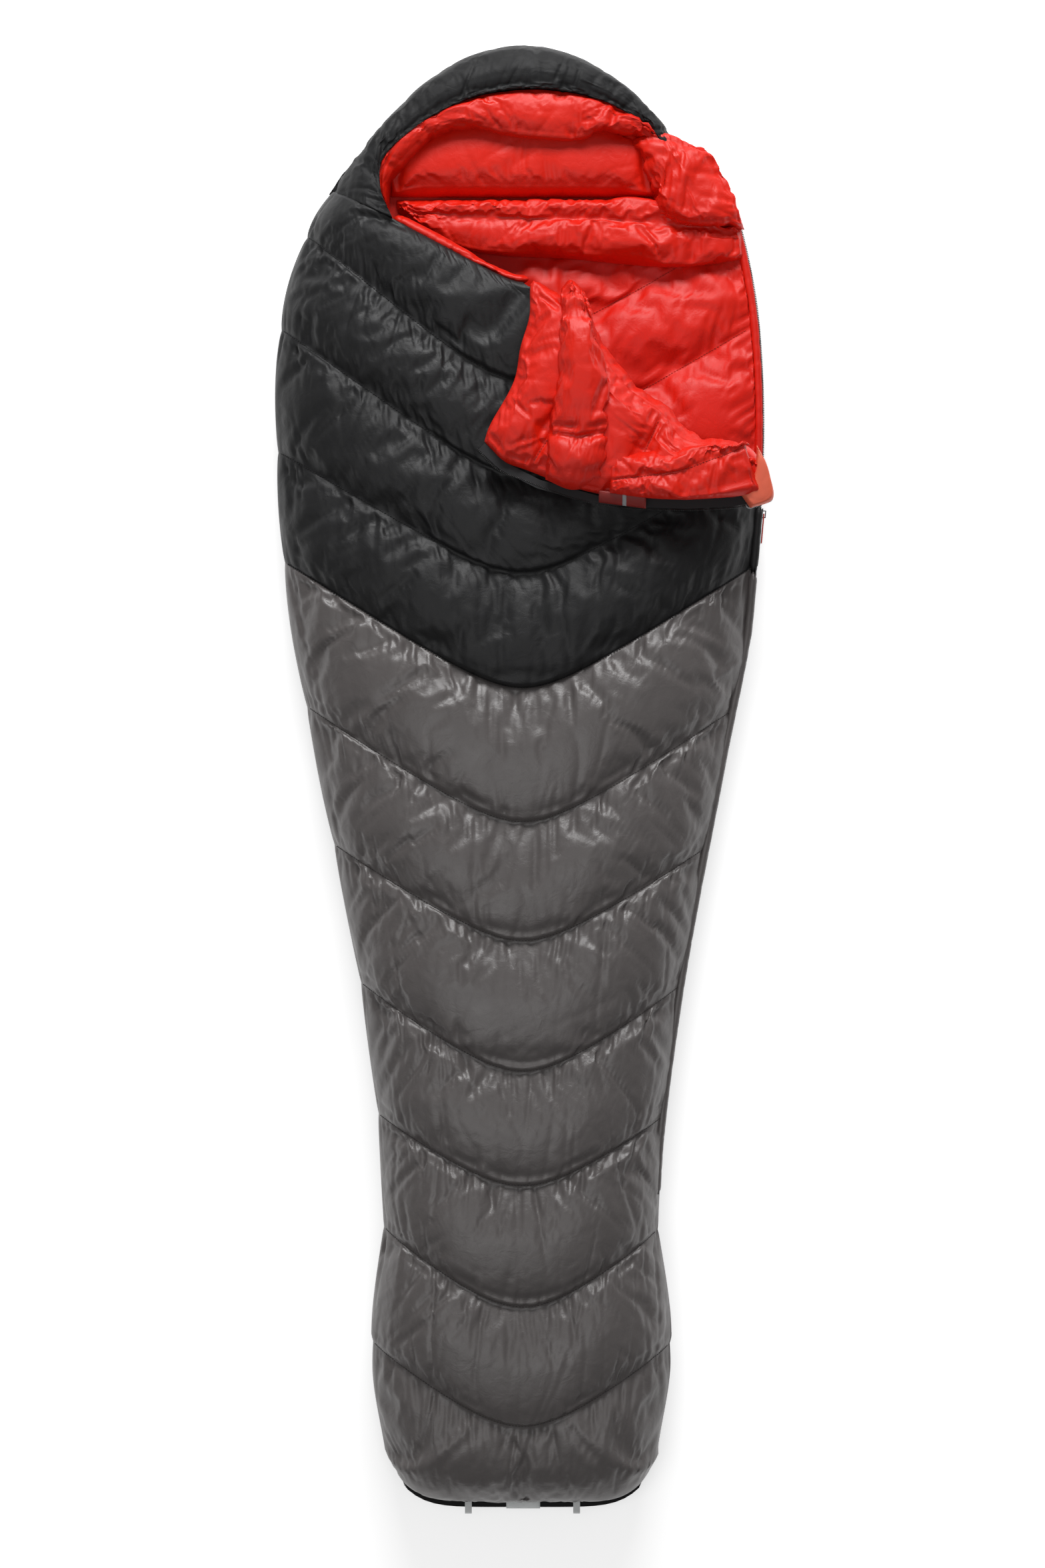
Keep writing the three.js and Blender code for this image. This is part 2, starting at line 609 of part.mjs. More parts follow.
function makeSlider() {
  const { long, high, plate, gap } = SLIDER;
  const [inner, outer] = [-gap / 2, gap / 2];
  const top = outer + plate;
  const bridge = top + BAIL.clear;
  const [root, tip] = [top - BAIL.sunk, bridge + BAIL.bar];
  const [end, side] = [BAIL.long / 2, BAIL.wide / 2];
  const pieces = [
    block(outer, top, -long / 2, long / 2, -high / 2, high / 2),
    block(inner - plate, inner, -long / 2, long / 2, -high / 2, high / 2),
    block(inner - plate / 2, outer + plate / 2, POST.from, POST.to, -POST.half, POST.half),
    block(root, tip, -end, -end + BAIL.bar, -side, side),
    block(root, tip, end - BAIL.bar, end, -side, side),
    block(bridge, tip, -end, end, -side, side),
  ];
  const pivot = top + BAIL.clear / 2;
  const { bar, arm, arms, reach, tab, thick, lap } = PULLER;
  const pull = [
    block(-bar / 2, bar / 2, -bar / 2, bar / 2, -arms / 2, arms / 2),
    block(-thick / 2, thick / 2, -reach, bar / 2, arms / 2 - arm, arms / 2),
    block(-thick / 2, thick / 2, -reach, bar / 2, -arms / 2, -arms / 2 + arm),
    block(-thick / 2, thick / 2, -reach - tab, -reach + lap, -arms / 2, arms / 2),
  ];
  const [low, straightTop] = STRAIGHT_ZIP;
  const lean = Math.atan2(zipX(low) - zipX(straightTop), straightTop - low);
  const y = ZIP_SPLIT_Y - long / 2;
  const slider = add('zip_slider', joined(pieces), ZINC());
  const puller = add('zip_puller', joined(pull), RED());
  for (const mesh of [slider, puller]) mesh.rotation.z = lean;
  slider.position.set(zipX(y), y, SEAM_Z);
  puller.position.set(zipX(y) + pivot * Math.cos(lean), y + pivot * Math.sin(lean), SEAM_Z);
}

// ---- Hang loops at the foot ----
const LOOP = { wide: 10, thick: 1.4, inner: 3, end: -1093, x: 80 };

function makeLoop(name, x) {
  const { wide, thick, inner, end } = LOOP;
  const z = SEAM_Z;
  const root = FOOT_END + SEAM_INSET - 2 * GAP;
  const turn = end + inner + thick;
  const outline = new THREE.Shape();
  outline.moveTo(root, z + inner + thick);
  outline.lineTo(turn, z + inner + thick);
  outline.absarc(turn, z, inner + thick, Math.PI / 2, 1.5 * Math.PI, false);
  outline.lineTo(root, z - inner - thick);
  outline.closePath();
  const hole = new THREE.Path();
  hole.moveTo(root - thick, z + inner);
  hole.lineTo(root - thick, z - inner);
  hole.lineTo(turn, z - inner);
  hole.absarc(turn, z, inner, 1.5 * Math.PI, Math.PI / 2, true);
  hole.closePath();
  outline.holes.push(hole);
  const geometry = new THREE.ExtrudeGeometry(
    outline, { depth: wide, bevelEnabled: false, curveSegments: 6 });
  // The outline is drawn as (y, z) and pulled out along x.
  geometry.applyMatrix4(new THREE.Matrix4().set(0, 0, 1, x - wide / 2, 1, 0, 0, 0, 0, 1, 0, 0, 0, 0, 0, 1));
  add(name, merged(geometry), WEBBING());
}

makeTopQuilt();
makeBackQuilt();
makeHood();
makeHeadPads();
makeFlap();
makeZip();
makeSlider();
makeLoop('hang_loop_left', -LOOP.x);
makeLoop('hang_loop_right', LOOP.x);

export default bag;
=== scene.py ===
"""A mummy sleeping bag lying open at the neck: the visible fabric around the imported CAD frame.

Lengths are millimetres in the shape functions, which repeat the CAD's outlines, and become
metres where a mesh is made.
"""

import bpy
import numpy as np
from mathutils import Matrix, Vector


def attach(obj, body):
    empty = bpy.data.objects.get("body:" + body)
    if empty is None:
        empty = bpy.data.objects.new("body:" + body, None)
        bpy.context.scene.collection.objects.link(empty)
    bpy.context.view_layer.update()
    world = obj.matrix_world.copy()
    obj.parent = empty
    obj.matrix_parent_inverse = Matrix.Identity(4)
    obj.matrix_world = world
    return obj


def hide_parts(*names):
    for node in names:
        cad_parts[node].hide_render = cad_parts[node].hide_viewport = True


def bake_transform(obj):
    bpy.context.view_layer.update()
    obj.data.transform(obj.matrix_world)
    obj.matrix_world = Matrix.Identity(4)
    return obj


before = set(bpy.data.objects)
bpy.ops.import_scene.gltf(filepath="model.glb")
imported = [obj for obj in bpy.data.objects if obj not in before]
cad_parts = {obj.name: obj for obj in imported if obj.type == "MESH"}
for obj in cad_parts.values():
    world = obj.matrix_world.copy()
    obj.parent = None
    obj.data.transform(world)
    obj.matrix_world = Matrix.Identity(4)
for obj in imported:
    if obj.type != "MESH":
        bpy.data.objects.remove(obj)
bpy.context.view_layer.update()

MM = 0.001

# ---- The CAD's outlines ----
CLOSED_SIDE = [
    [-1000, 203], [-870, 222], [-640, 202], [-343, 231], [11, 299], [248, 342],
    [484, 359], [661, 353], [780, 320], [850, 283], [940, 222],
]
ZIP_SIDE = [
    [-1000, 196], [-870, 214], [-640, 192], [-343, 223], [11, 288], [248, 333],
    [484, 348], [661, 342], [780, 322], [850, 299], [921, 250],
]
TOP_SEAMS = [
    (-951, 0.70), (-777, 0.74), (-600, 0.64), (-433, 0.70), (-243, 0.64), (-70, 0.66),
    (125, 0.65), (293, 0.61), (435, 0.75), (572, 0.86),
]
BACK_SEAMS = [
    (-820, 0.6), (-580, 0.6), (-350, 0.6), (-130, 0.6), (90, 0.6), (300, 0.6),
    (495, 0.6), (647, 0.6),
]
NECK = (715, 0.55, 20)      # y, slope and radius of the neck edge
HEAD_SEAM = 850
BLACK_FROM = 7      # the seam where grey meets black
SEAM_Z = 60         # height of the side seams
TUCK_Z = 56.7       # the lower edge of the top quilt and the hood, inside the side seams
FOOT_ROUND = 200    # how far from its end the foot is rounded down
COARSE = 4          # a hidden side has every fourth point, each way, of its visible side
CREST_Z = (146, 156)        # height of the crest at the foot and over the chest
CEILING_Z = (58.5, 101)     # lowest and highest points of the top quilt's hidden side
LINING_Z = 57.6     # the back quilt's lining at its seams
BACK_TOP_Z = 56.6   # the hidden side of the back quilt, under its lining
PRESSURE = 2.5      # of the down in the cloth simulation
FRAMES = 18         # of the cloth simulation
FOLD_EDGE = [
    (17, 712), (60, 674), (98, 632), (126, 588), (152, 558), (205, 520), (224, 492), (256, 476),
    (318, 468), (345, 449), (352, 440), (420, 392),
]
# Along the hood: outer x and y, inner x and y, and height. It starts a little lower than the
# CAD's hood, to run out of the chest.
HOOD = [
    (-286, 856, -190, 810, 126), (-262, 890, -207, 852, 130), (-232, 922, -206, 896, 132),
    (-198, 960, -176, 930, 134), (-145, 1013, -122, 968, 136), (-78, 1055, -60, 994, 138),
    (0, 1072, 0, 1003, 138), (78, 1055, 66, 999, 136), (145, 1014, 126, 982, 130),
    (196, 967, 172, 955, 118), (232, 922, 206, 921, 104),
]


# ---- Curves in plan ----
def width_at(stations, y):
    """Half width at y, on a smooth curve through the stations."""
    ys, ws = np.array(stations, float).T
    m = np.empty(len(ys))
    m[1:-1] = (ws[2:] - ws[:-2]) / (ys[2:] - ys[:-2])
    m[0], m[-1] = (ws[1] - ws[0]) / (ys[1] - ys[0]), (ws[-1] - ws[-2]) / (ys[-1] - ys[-2])
    y = np.clip(y, ys[0], ys[-1])
    i = np.clip(np.searchsorted(ys, y, side="right") - 1, 0, len(ys) - 2)
    h = ys[i + 1] - ys[i]
    t = (y - ys[i]) / h
    return ((2 * t**3 - 3 * t**2 + 1) * ws[i] + (t**3 - 2 * t**2 + t) * h * m[i]
            + (3 * t**2 - 2 * t**3) * ws[i + 1] + (t**3 - t**2) * h * m[i + 1])


def chevron(y, slope, radius=70):
    return lambda x: y + slope * (np.hypot(x, radius) - radius)


def foot_end(x):
    return -1074 + 80 * (np.minimum(np.abs(x), 225) / 205) ** 6


def crown_end(x):
    return 1073 - 0.0027 * np.square(x)


def fold_y(x):
    """y of the fold's visible edge, which weaves about the straight line of the hinge."""
    return np.interp(x, *np.array(FOLD_EDGE, float).T)


def bluff(p, power=4):
    return np.sqrt(np.maximum(0, 1 - np.clip(p, 0, 1) ** power))


def soft(p):
    """The section of an empty quilt: nearly flat, and rounded down towards its sides."""
    return np.maximum(0, 1 - np.clip(p, 0, 1) ** 3) ** 0.62


def across_share(x, y):
    return np.where(x < 0, -x / width_at(CLOSED_SIDE, y), x / width_at(ZIP_SIDE, y))


def row_ends(curve, folded):
    """Left and right x of a row, where it meets the sides or the fold."""
    def edge(reach):
        low, high = 0.0, 420.0
        for _ in range(30):
            middle = (low + high) / 2
            low, high = (low, middle) if reach(middle) > 0 else (middle, high)
        return low
    left = -edge(lambda x: x - width_at(CLOSED_SIDE, curve(-x)))
    right = edge(lambda x: max(x - width_at(ZIP_SIDE, curve(x)),
                               curve(x) - fold_y(x) + 4 if folded else -1.0))
    return left, right


def arch_shares(columns, rise=0.33):
    """Shares across a quilt that are evenly spaced over its arched section."""
    x = np.sin(np.linspace(-np.pi / 2, np.pi / 2, 4001))
    step = np.hypot(np.diff(x), rise * np.diff(soft(np.abs(x))))
    run = np.concatenate([[0], np.cumsum(step)])
    return (np.interp(np.linspace(0, run[-1], columns), run, x) + 1) / 2


def run_along(points):
    """The distance along the points from the first to each."""
    return np.concatenate([[0], np.cumsum(np.linalg.norm(np.diff(points, axis=0), axis=1))])


def points_at(at, line, run):
    """The points at the distances given along a line."""
    return np.stack([np.interp(at, run, axis) for axis in line.T], axis=-1)


def catmull(a, b, c, d, t):
    """The point at share t from b to c, on a smooth curve that comes from a and goes on to d."""
    return b + 0.5 * t * (c - a + t * (2 * a - 5 * b + 4 * c - d + t * (3 * (b - c) + d - a)))


def spline(points, count):
    """Points evenly spaced along a smooth curve through the given ones."""
    p = np.array(points, float)
    if len(p) == 2:
        return p[0] + np.linspace(0, 1, count)[:, None] * (p[1] - p[0])
    ends = np.vstack([2 * p[0] - p[1], p, 2 * p[-1] - p[-2]])
    dense = []
    for i in range(len(p) - 1):
        a, b, c, d = ends[i:i + 4]
        t = np.linspace(0, 1, 40, endpoint=i == len(p) - 2)[:, None]
        dense.append(catmull(a, b, c, d, t))
    dense = np.vstack(dense)
    run = run_along(dense)
    return points_at(np.linspace(0, run[-1], count), dense, run)


def lines_grid(lines, columns, rows):
    """A grid through several lines of points, with rows[i] rows from line i to line i + 1."""
    knots = np.stack([spline(line, columns) for line in lines])
    ends = np.concatenate([[2 * knots[0] - knots[1]], knots, [2 * knots[-1] - knots[-2]]])
    grid = []
    for i, count in enumerate(rows):
        a, b, c, d = ends[i:i + 4]
        for t in np.arange(count) / count:
            grid.append(catmull(a, b, c, d, t))
    return np.stack([*grid, knots[-1]])


# ---- Grids of points ----
def normals(P):
    n = np.cross(np.gradient(P, axis=1), np.gradient(P, axis=0))
    return n / np.maximum(np.linalg.norm(n, axis=2, keepdims=True), 1e-9)


def halved(P, axis, seams=()):
    """The grid with a point added between every two, smooth except at the seams."""
    P = np.swapaxes(P, 0, axis)
    stops = sorted({0, len(P) - 1, *seams})
    pieces = []
    for low, high in zip(stops, stops[1:]):
        part = P[low:high + 1]
        ends = np.concatenate([[2 * part[0] - part[1]], part, [2 * part[-1] - part[-2]]])
        middle = (9 * (part[:-1] + part[1:]) - ends[:-3] - ends[3:]) / 16
        both = np.empty((2 * len(middle), *part.shape[1:]))
        both[0::2], both[1::2] = part[:-1], middle
        pieces.append(both)
    return np.swapaxes(np.concatenate([*pieces, P[-1:]]), 0, axis)


def refined(P, seams=()):
    return halved(halved(P, 0, seams), 1), [2 * s for s in seams]


def gathers(P, seams, seed, gap=17, reach=42, deep=1.6, sides=(1, -1), strong=1.0):
    """Folds that run away from each seam, where the thread gathers the cloth."""
    rng = np.random.default_rng(seed)
    out = normals(P)
    push = np.zeros(P.shape[:2])
    stops = sorted({0, len(P) - 1, *seams})
    for seam in seams:
        along = run_along(P[seam])
        for side in sides:
            k = stops.index(seam) + side
            if not 0 <= k < len(stops):
                continue
            rows = np.arange(seam, stops[k] + side, side)
            away = np.concatenate([np.zeros((1, P.shape[1])), np.cumsum(
                np.linalg.norm(np.diff(P[rows], axis=0), axis=2), axis=0)])
            force = strong if side < 0 else 1.0
            sheet = np.zeros(away.shape)
            s = rng.uniform(0, gap)
            while s < along[-1]:
                wide = gap * rng.uniform(0.16, 0.42)
                long = reach * rng.lognormal(0, 0.45)
                tilt = rng.normal(0, 0.22)
                size = force * deep * rng.uniform(0.25, 1.25)
                near = np.abs(along[None, :] - s - tilt * away) < 4 * wide
                cols = np.flatnonzero(near.any(axis=0))
                if len(cols):
                    c = slice(cols[0], cols[-1] + 1)
                    d = away[:, c]
                    q = d / (0.3 * long)
                    across = np.abs(along[None, c] - s - tilt * d) / wide
                    sheet[:, c] -= size * np.exp(-across**1.4) * q * np.exp(1 - q)
                s += gap * rng.uniform(0.45, 1.55)
            push[rows] += sheet
    fade = np.minimum(1, np.minimum(np.arange(P.shape[1]), np.arange(P.shape[1])[::-1]) / 3)
    return P + out * (push * fade)[:, :, None]


def creases(P, seed, count, size, long=(60, 160), wide=(5, 12), lean=0.5):
    """Soft creases that lie at random across the cloth."""
    rng = np.random.default_rng(seed)
    out = normals(P)
    push = np.zeros(P.shape[:2])
    for _ in range(count):
        i, j = rng.integers(P.shape[0]), rng.integers(P.shape[1])
        turn = rng.normal(0, lean) + np.pi / 2 * (rng.random() < 0.35)
        length, width = rng.uniform(*long), rng.uniform(*wide)
        d = P[:, :, :2] - P[i, j, :2]
        u = d[:, :, 0] * np.sin(turn) + d[:, :, 1] * np.cos(turn)
        v = d[:, :, 0] * np.cos(turn) - d[:, :, 1] * np.sin(turn) + 0.0015 * u * u * rng.normal()
        keep = (np.abs(u) < 1.6 * length) & (np.abs(v) < 4 * width)
        if keep.any():
            shape = np.exp(-(2 * u[keep] / length)**2) * np.exp(-np.abs(v[keep] / width)**1.5)
            push[keep] -= size * rng.uniform(0.3, 1) * shape
    edge = np.minimum(np.minimum(np.arange(P.shape[0]), np.arange(P.shape[0])[::-1])[:, None],
                      np.minimum(np.arange(P.shape[1]), np.arange(P.shape[1])[::-1])[None, :])
    return P + out * (push * np.minimum(1, edge / 4))[:, :, None]


# ---- Meshes ----
def add_mesh(name, points, faces, material, body=None):
    mesh = bpy.data.meshes.new(name)
    mesh.from_pydata((np.asarray(points, float).reshape(-1, 3) * MM).tolist(), [], faces)
    mesh.materials.append(material)
    mesh.polygons.foreach_set("use_smooth", [True] * len(mesh.polygons))
    mesh.update()
    piece = bpy.data.objects.new(name, mesh)
    bpy.context.scene.collection.objects.link(piece)
    if body:
        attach(piece, body)
    return piece


def quads(rows, cols, start=0, wrap=False):
    i, j = np.meshgrid(np.arange(rows - 1), np.arange(cols if wrap else cols - 1), indexing="ij")
    k = (j + 1) % cols
    return (start + np.stack([i * cols + j, i * cols + k, (i + 1) * cols + k, (i + 1) * cols + j],
                             axis=-1).reshape(-1, 4))


def rim(rows, cols, start=0):
    """Indices round a grid's edge."""
    index = start + np.arange(rows * cols).reshape(rows, cols)
    return np.concatenate([index[0, :-1], index[:-1, -1], index[-1, :0:-1], index[:0:-1, 0]])


def closed_body(P, under, step):
    """Points and faces of a fine upper grid closed by a coarse lower one, step times coarser."""
    rows, cols = P.shape[:2]
    low_rows, low_cols = under.shape[:2]
    start = rows * cols
    faces = [tuple(f) for f in quads(rows, cols).tolist()]
    faces += [tuple(f[::-1]) for f in quads(low_rows, low_cols, start).tolist()]
    fine, coarse = rim(rows, cols), rim(low_rows, low_cols, start)
    for k, c in enumerate(coarse):
        c_next = coarse[(k + 1) % len(coarse)]
        near = [fine[(k * step + n) % len(fine)] for n in range(step + 1)]
        half = step // 2
        for n in range(step):
            faces.append((near[n + 1], near[n], c if n < half else c_next))
        faces.append((near[half], c, c_next))
    points = np.concatenate([P.reshape(-1, 3), under.reshape(-1, 3)])
    if under[:, :, 2].mean() > P[:, :, 2].mean():
        faces = [f[::-1] for f in faces]
    return points, [tuple(int(v) for v in f) for f in faces]


def closed_tube(P):
    """Points and faces of a grid of rings, closed at both ends."""
    rows, cols = P.shape[:2]
    points = np.concatenate([P.reshape(-1, 3), [P[0].mean(axis=0), P[-1].mean(axis=0)]])
    faces = [tuple(f) for f in quads(rows, cols, 0, wrap=True).tolist()]
    for j in range(cols):
        k = (j + 1) % cols
        faces.append((j, rows * cols, k))
        faces.append(((rows - 1) * cols + k, rows * cols + 1, (rows - 1) * cols + j))
    return points, faces


def closed_skin(P, thick):
    """Points and faces of a cloth of one thickness: the grid, and the grid moved inwards."""
    rows, cols = P.shape[:2]
    inner = P - normals(P) * thick
    start = rows * cols
    faces = quads(rows, cols).tolist() + [f[::-1] for f in quads(rows, cols, start).tolist()]
    loop = rim(rows, cols)
    for a, b in zip(loop, np.roll(loop, -1)):
        faces.append([int(b), int(a), int(a) + start, int(b) + start])
    return np.concatenate([P.reshape(-1, 3), inner.reshape(-1, 3)]), [tuple(f) for f in faces]


# ---- Cloth ----
def pinned(P, rows=()):
    """The points that the cloth can't move: the grid's edge and its seams."""
    fixed = np.zeros(P.shape[:2], bool)
    fixed[[0, -1]] = fixed[:, [0, -1]] = True
    fixed[list(rows)] = True
    return fixed


def simulated(P, fixed, extra, cap):
    """The grid after its cloth, cut a little too large, is blown up between its fixed points."""
    rows, cols = P.shape[:2]
    piece = add_mesh("cloth", P, [tuple(f) for f in quads(rows, cols).tolist()],
                     bpy.data.materials.new("cloth"))
    group = piece.vertex_groups.new(name="fixed")
    group.add(np.flatnonzero(fixed.ravel()).tolist(), 1.0, "REPLACE")
    cloth = piece.modifiers.new("cloth", "CLOTH")
    cloth.settings.vertex_group_mass = "fixed"
    cloth.settings.quality = 4
    cloth.settings.mass = 0.02
    cloth.settings.tension_stiffness = cloth.settings.compression_stiffness = 12
    cloth.settings.shear_stiffness = 4
    cloth.settings.bending_stiffness = 0.02
    cloth.settings.use_pressure = True
    cloth.settings.uniform_pressure_force = PRESSURE
    cloth.settings.shrink_min = -extra
    cloth.settings.effector_weights.gravity = 0
    cloth.collision_settings.use_collision = False
    cloth.point_cache.frame_start, cloth.point_cache.frame_end = 1, FRAMES
    scene = bpy.context.scene
    for number in range(1, FRAMES + 1):
        scene.frame_set(number)
    held = piece.evaluated_get(bpy.context.evaluated_depsgraph_get())
    moved = np.empty(len(held.data.vertices) * 3, np.float32)
    held.data.vertices.foreach_get("co", moved)
    moved = moved.reshape(rows, cols, 3).astype(float) / MM
    scene.frame_set(1)
    bpy.data.objects.remove(piece, do_unlink=True)
    shift = moved - P
    far = np.linalg.norm(shift, axis=2, keepdims=True)
    return P + shift * np.minimum(1, cap / np.maximum(far, 1e-6))


# ---- Materials ----
def new_material(name):
    material = bpy.data.materials.new(name)
    material.use_nodes = True
    tree = material.node_tree
    return material, tree, tree.nodes["Principled BSDF"]


def node(tree, kind, values=None, **attributes):
    made = tree.nodes.new(kind)
    for name, value in attributes.items():
        setattr(made, name, value)
    for name, value in (values or {}).items():
        made.inputs[name].default_value = value
    return made


def linear(red, green, blue):
    def one(c):
        c /= 255
        return c / 12.92 if c <= 0.04045 else ((c + 0.055) / 1.055) ** 2.4
    return (one(red), one(green), one(blue), 1)


def nylon(name, light, dark, rough=(0.34, 0.48), shine=0.5, weave=0.12, crumple=0.5):
    """Thin downproof nylon: a fine plain weave, small crumples and uneven gloss."""
    material, tree, shader = new_material(name)
    link = tree.links.new
    place = node(tree, "ShaderNodeTexCoord")
    patchy = node(tree, "ShaderNodeTexNoise", {"Scale": 7.0, "Detail": 5.0, "Roughness": 0.6})
    link(place.outputs["Object"], patchy.inputs["Vector"])
    tint = node(tree, "ShaderNodeMix", data_type="RGBA")
    tint.inputs[6].default_value, tint.inputs[7].default_value = dark, light
    link(patchy.outputs["Fac"], tint.inputs[0])
    link(tint.outputs[2], shader.inputs["Base Color"])
    gloss = node(tree, "ShaderNodeMapRange", {"From Min": 0.3, "From Max": 0.7,
                                              "To Min": rough[0], "To Max": rough[1]})
    smear = node(tree, "ShaderNodeTexNoise", {"Scale": 26.0, "Detail": 4.0})
    link(place.outputs["Object"], smear.inputs["Vector"])
    link(smear.outputs["Fac"], gloss.inputs["Value"])
    link(gloss.outputs["Result"], shader.inputs["Roughness"])
    crinkle = node(tree, "ShaderNodeTexNoise", {"Scale": 48.0, "Detail": 5.0,
                                                "Roughness": 0.55, "Distortion": 0.6})
    link(place.outputs["Object"], crinkle.inputs["Vector"])
    coarse = node(tree, "ShaderNodeBump", {"Strength": crumple, "Distance": 0.0022})
    link(crinkle.outputs["Fac"], coarse.inputs["Height"])
    warp = node(tree, "ShaderNodeTexWave", {"Scale": 420.0, "Distortion": 0.4},
                bands_direction="X")
    weft = node(tree, "ShaderNodeTexWave", {"Scale": 420.0, "Distortion": 0.4},
                bands_direction="Y")
    cloth = node(tree, "ShaderNodeMath", operation="MULTIPLY")
    for k, wave in enumerate((warp, weft)):
        link(place.outputs["Object"], wave.inputs["Vector"])
        link(wave.outputs["Fac"], cloth.inputs[k])
    fine = node(tree, "ShaderNodeBump", {"Strength": weave, "Distance": 0.0002})
    link(cloth.outputs["Value"], fine.inputs["Height"])
    link(coarse.outputs["Normal"], fine.inputs["Normal"])
    link(fine.outputs["Normal"], shader.inputs["Normal"])
    shader.inputs["Specular IOR Level"].default_value = shine
    return material


def ribbed(name, light, dark, scale, rough, metal=0.0, bump=0.4, way="DIAGONAL"):
    """Woven tape, cord or moulded plastic: fine ribs and a worn, uneven colour."""
    material, tree, shader = new_material(name)
    link = tree.links.new
    place = node(tree, "ShaderNodeTexCoord")
    wear = node(tree, "ShaderNodeTexNoise", {"Scale": 120.0, "Detail": 4.0})
    link(place.outputs["Object"], wear.inputs["Vector"])
    tint = node(tree, "ShaderNodeMix", data_type="RGBA")
    tint.inputs[6].default_value, tint.inputs[7].default_value = dark, light
    link(wear.outputs["Fac"], tint.inputs[0])
    link(tint.outputs[2], shader.inputs["Base Color"])
    ribs = node(tree, "ShaderNodeTexWave", {"Scale": scale, "Distortion": 0.6},
                bands_direction=way)
    link(place.outputs["Object"], ribs.inputs["Vector"])
    rise = node(tree, "ShaderNodeBump", {"Strength": bump, "Distance": 0.0003})
    link(ribs.outputs["Fac"], rise.inputs["Height"])
    link(rise.outputs["Normal"], shader.inputs["Normal"])
    gloss = node(tree, "ShaderNodeMapRange", {"To Min": rough - 0.08, "To Max": rough + 0.1})
    link(wear.outputs["Fac"], gloss.inputs["Value"])
    link(gloss.outputs["Result"], shader.inputs["Roughness"])
    shader.inputs["Metallic"].default_value = metal
    return material


BLACK = nylon("black_nylon", linear(34, 34, 35), linear(24, 24, 25), (0.44, 0.58), 0.33)
GREY = nylon("grey_nylon", linear(95, 90, 89), linear(83, 79, 78), (0.34, 0.46), 0.66)
HOOD_BLACK = nylon("hood_nylon", linear(32, 32, 33), linear(24, 24, 25), (0.52, 0.64), 0.25)
RED = nylon("red_lining", linear(226, 32, 4), linear(206, 18, 1), (0.4, 0.54), 0.4)
RED_DEEP = nylon("red_back_lining", linear(224, 30, 4), linear(202, 14, 1), (0.42, 0.56), 0.4)
TAPE = ribbed("zip_tape", linear(40, 40, 42), linear(26, 26, 28), 500.0, 0.75)
NYLON_COIL = ribbed("zip_coil", linear(30, 30, 31), linear(18, 18, 19), 300.0, 0.4)
ZINC = ribbed("slider_zinc", linear(92, 94, 97), linear(52, 53, 56), 90.0, 0.35, 0.85, 0.1)
PULL = ribbed("puller_cord", linear(214, 58, 36), linear(180, 36, 20), 420.0, 0.6)
WEBBING = ribbed("webbing", linear(246, 248, 248), linear(218, 221, 221), 340.0, 0.8, way="X")
LABEL = ribbed("label_satin", linear(178, 180, 182), linear(140, 142, 145), 300.0, 0.5)
SALMON = nylon("salmon_tab", linear(226, 110, 84), linear(214, 92, 66), (0.45, 0.6), 0.3)
LABEL_RED = ribbed("label_red", linear(150, 34, 26), linear(120, 22, 18), 300.0, 0.5)
THREAD_DARK = ribbed("thread_dark", linear(36, 36, 37), linear(22, 22, 23), 800.0, 0.7)
THREAD_GREY = ribbed("thread_grey", linear(86, 82, 81), linear(62, 59, 58), 800.0, 0.7)
THREAD_RED = ribbed("thread_red", linear(196, 44, 24), linear(160, 28, 12), 800.0, 0.7)


# ---- Stitches ----
def box_sides(k):
    """The four sides between the rings of four points that start at k and at k + 4."""
    return [(k + n, k + (n + 1) % 4, k + 4 + (n + 1) % 4, k + 4 + n) for n in range(4)]


def stitches(name, lines, material, body, pitch=4.6, long=3.2, wide=0.55):
    """A row of small raised stitches along each line of points."""
    points, faces = [], []
    for line in lines:
        run = run_along(line)
        for s in np.arange(pitch, run[-1] - pitch, pitch):
            a, b = points_at(s - long / 2, line, run), points_at(s + long / 2, line, run)
            along = (b - a) / max(np.linalg.norm(b - a), 1e-6)
            side = np.cross(along, [0, 0, 1.0])
            side /= max(np.linalg.norm(side), 1e-6)
            up = np.cross(side, along)
            middle = (a + b) / 2 + up * 0.3
            k = len(points)
            for end, lift in ((a, 0.0), (middle, 0.45), (b, 0.0)):
                points += [end + side * wide + up * lift, end + up * (wide + lift),
                           end - side * wide + up * lift, end + up * (lift - wide)]
            faces += box_sides(k) + box_sides(k + 4)
            faces += [(k + 3, k + 2, k + 1, k), (k + 8, k + 9, k + 10, k + 11)]
    piece = add_mesh(name, np.array(points), faces, material, body)
    return piece


# ---- Strips, pads and tubes ----
def chamber_loft(t):
    """How far a chamber stands up, from its foot seam (0) to its head seam (1)."""
    return (np.clip(4 * t * (1 - t), 0, 1)) ** 0.62 * (1 + 0.25 * (t - 0.5))


def closed_strip(name, P, thick, material, nodes=(), body=None):
    """A cloth one layer thick, made from a grid."""
    points, faces = closed_skin(P, thick)
    piece = add_mesh(name, points, faces, material, body)
    if nodes:
        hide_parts(*nodes)
    return piece


def padded_piece(name, points, faces, material, nodes, body):
    piece = add_mesh(name, points, faces, material, body)
    if nodes:
        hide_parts(*nodes)


def make_part(name, P, under, material, nodes, body="bag"):
    """A padded piece whose visible side is the fine grid and hidden side the coarse one."""
    points, faces = closed_body(P, under, COARSE)
    padded_piece(name, points, faces, material, nodes, body)


def coarse_at(P, z):
    """The coarse grid under or over a fine one, at one height."""
    flat = P[::COARSE, ::COARSE].copy()
    flat[:, :, 2] = z
    return flat


def with_height(plan, height):
    """A plan grid of (x, y) lifted to the heights given."""
    return np.concatenate([plan, np.broadcast_to(height, plan.shape[:2])[:, :, None]], axis=2)


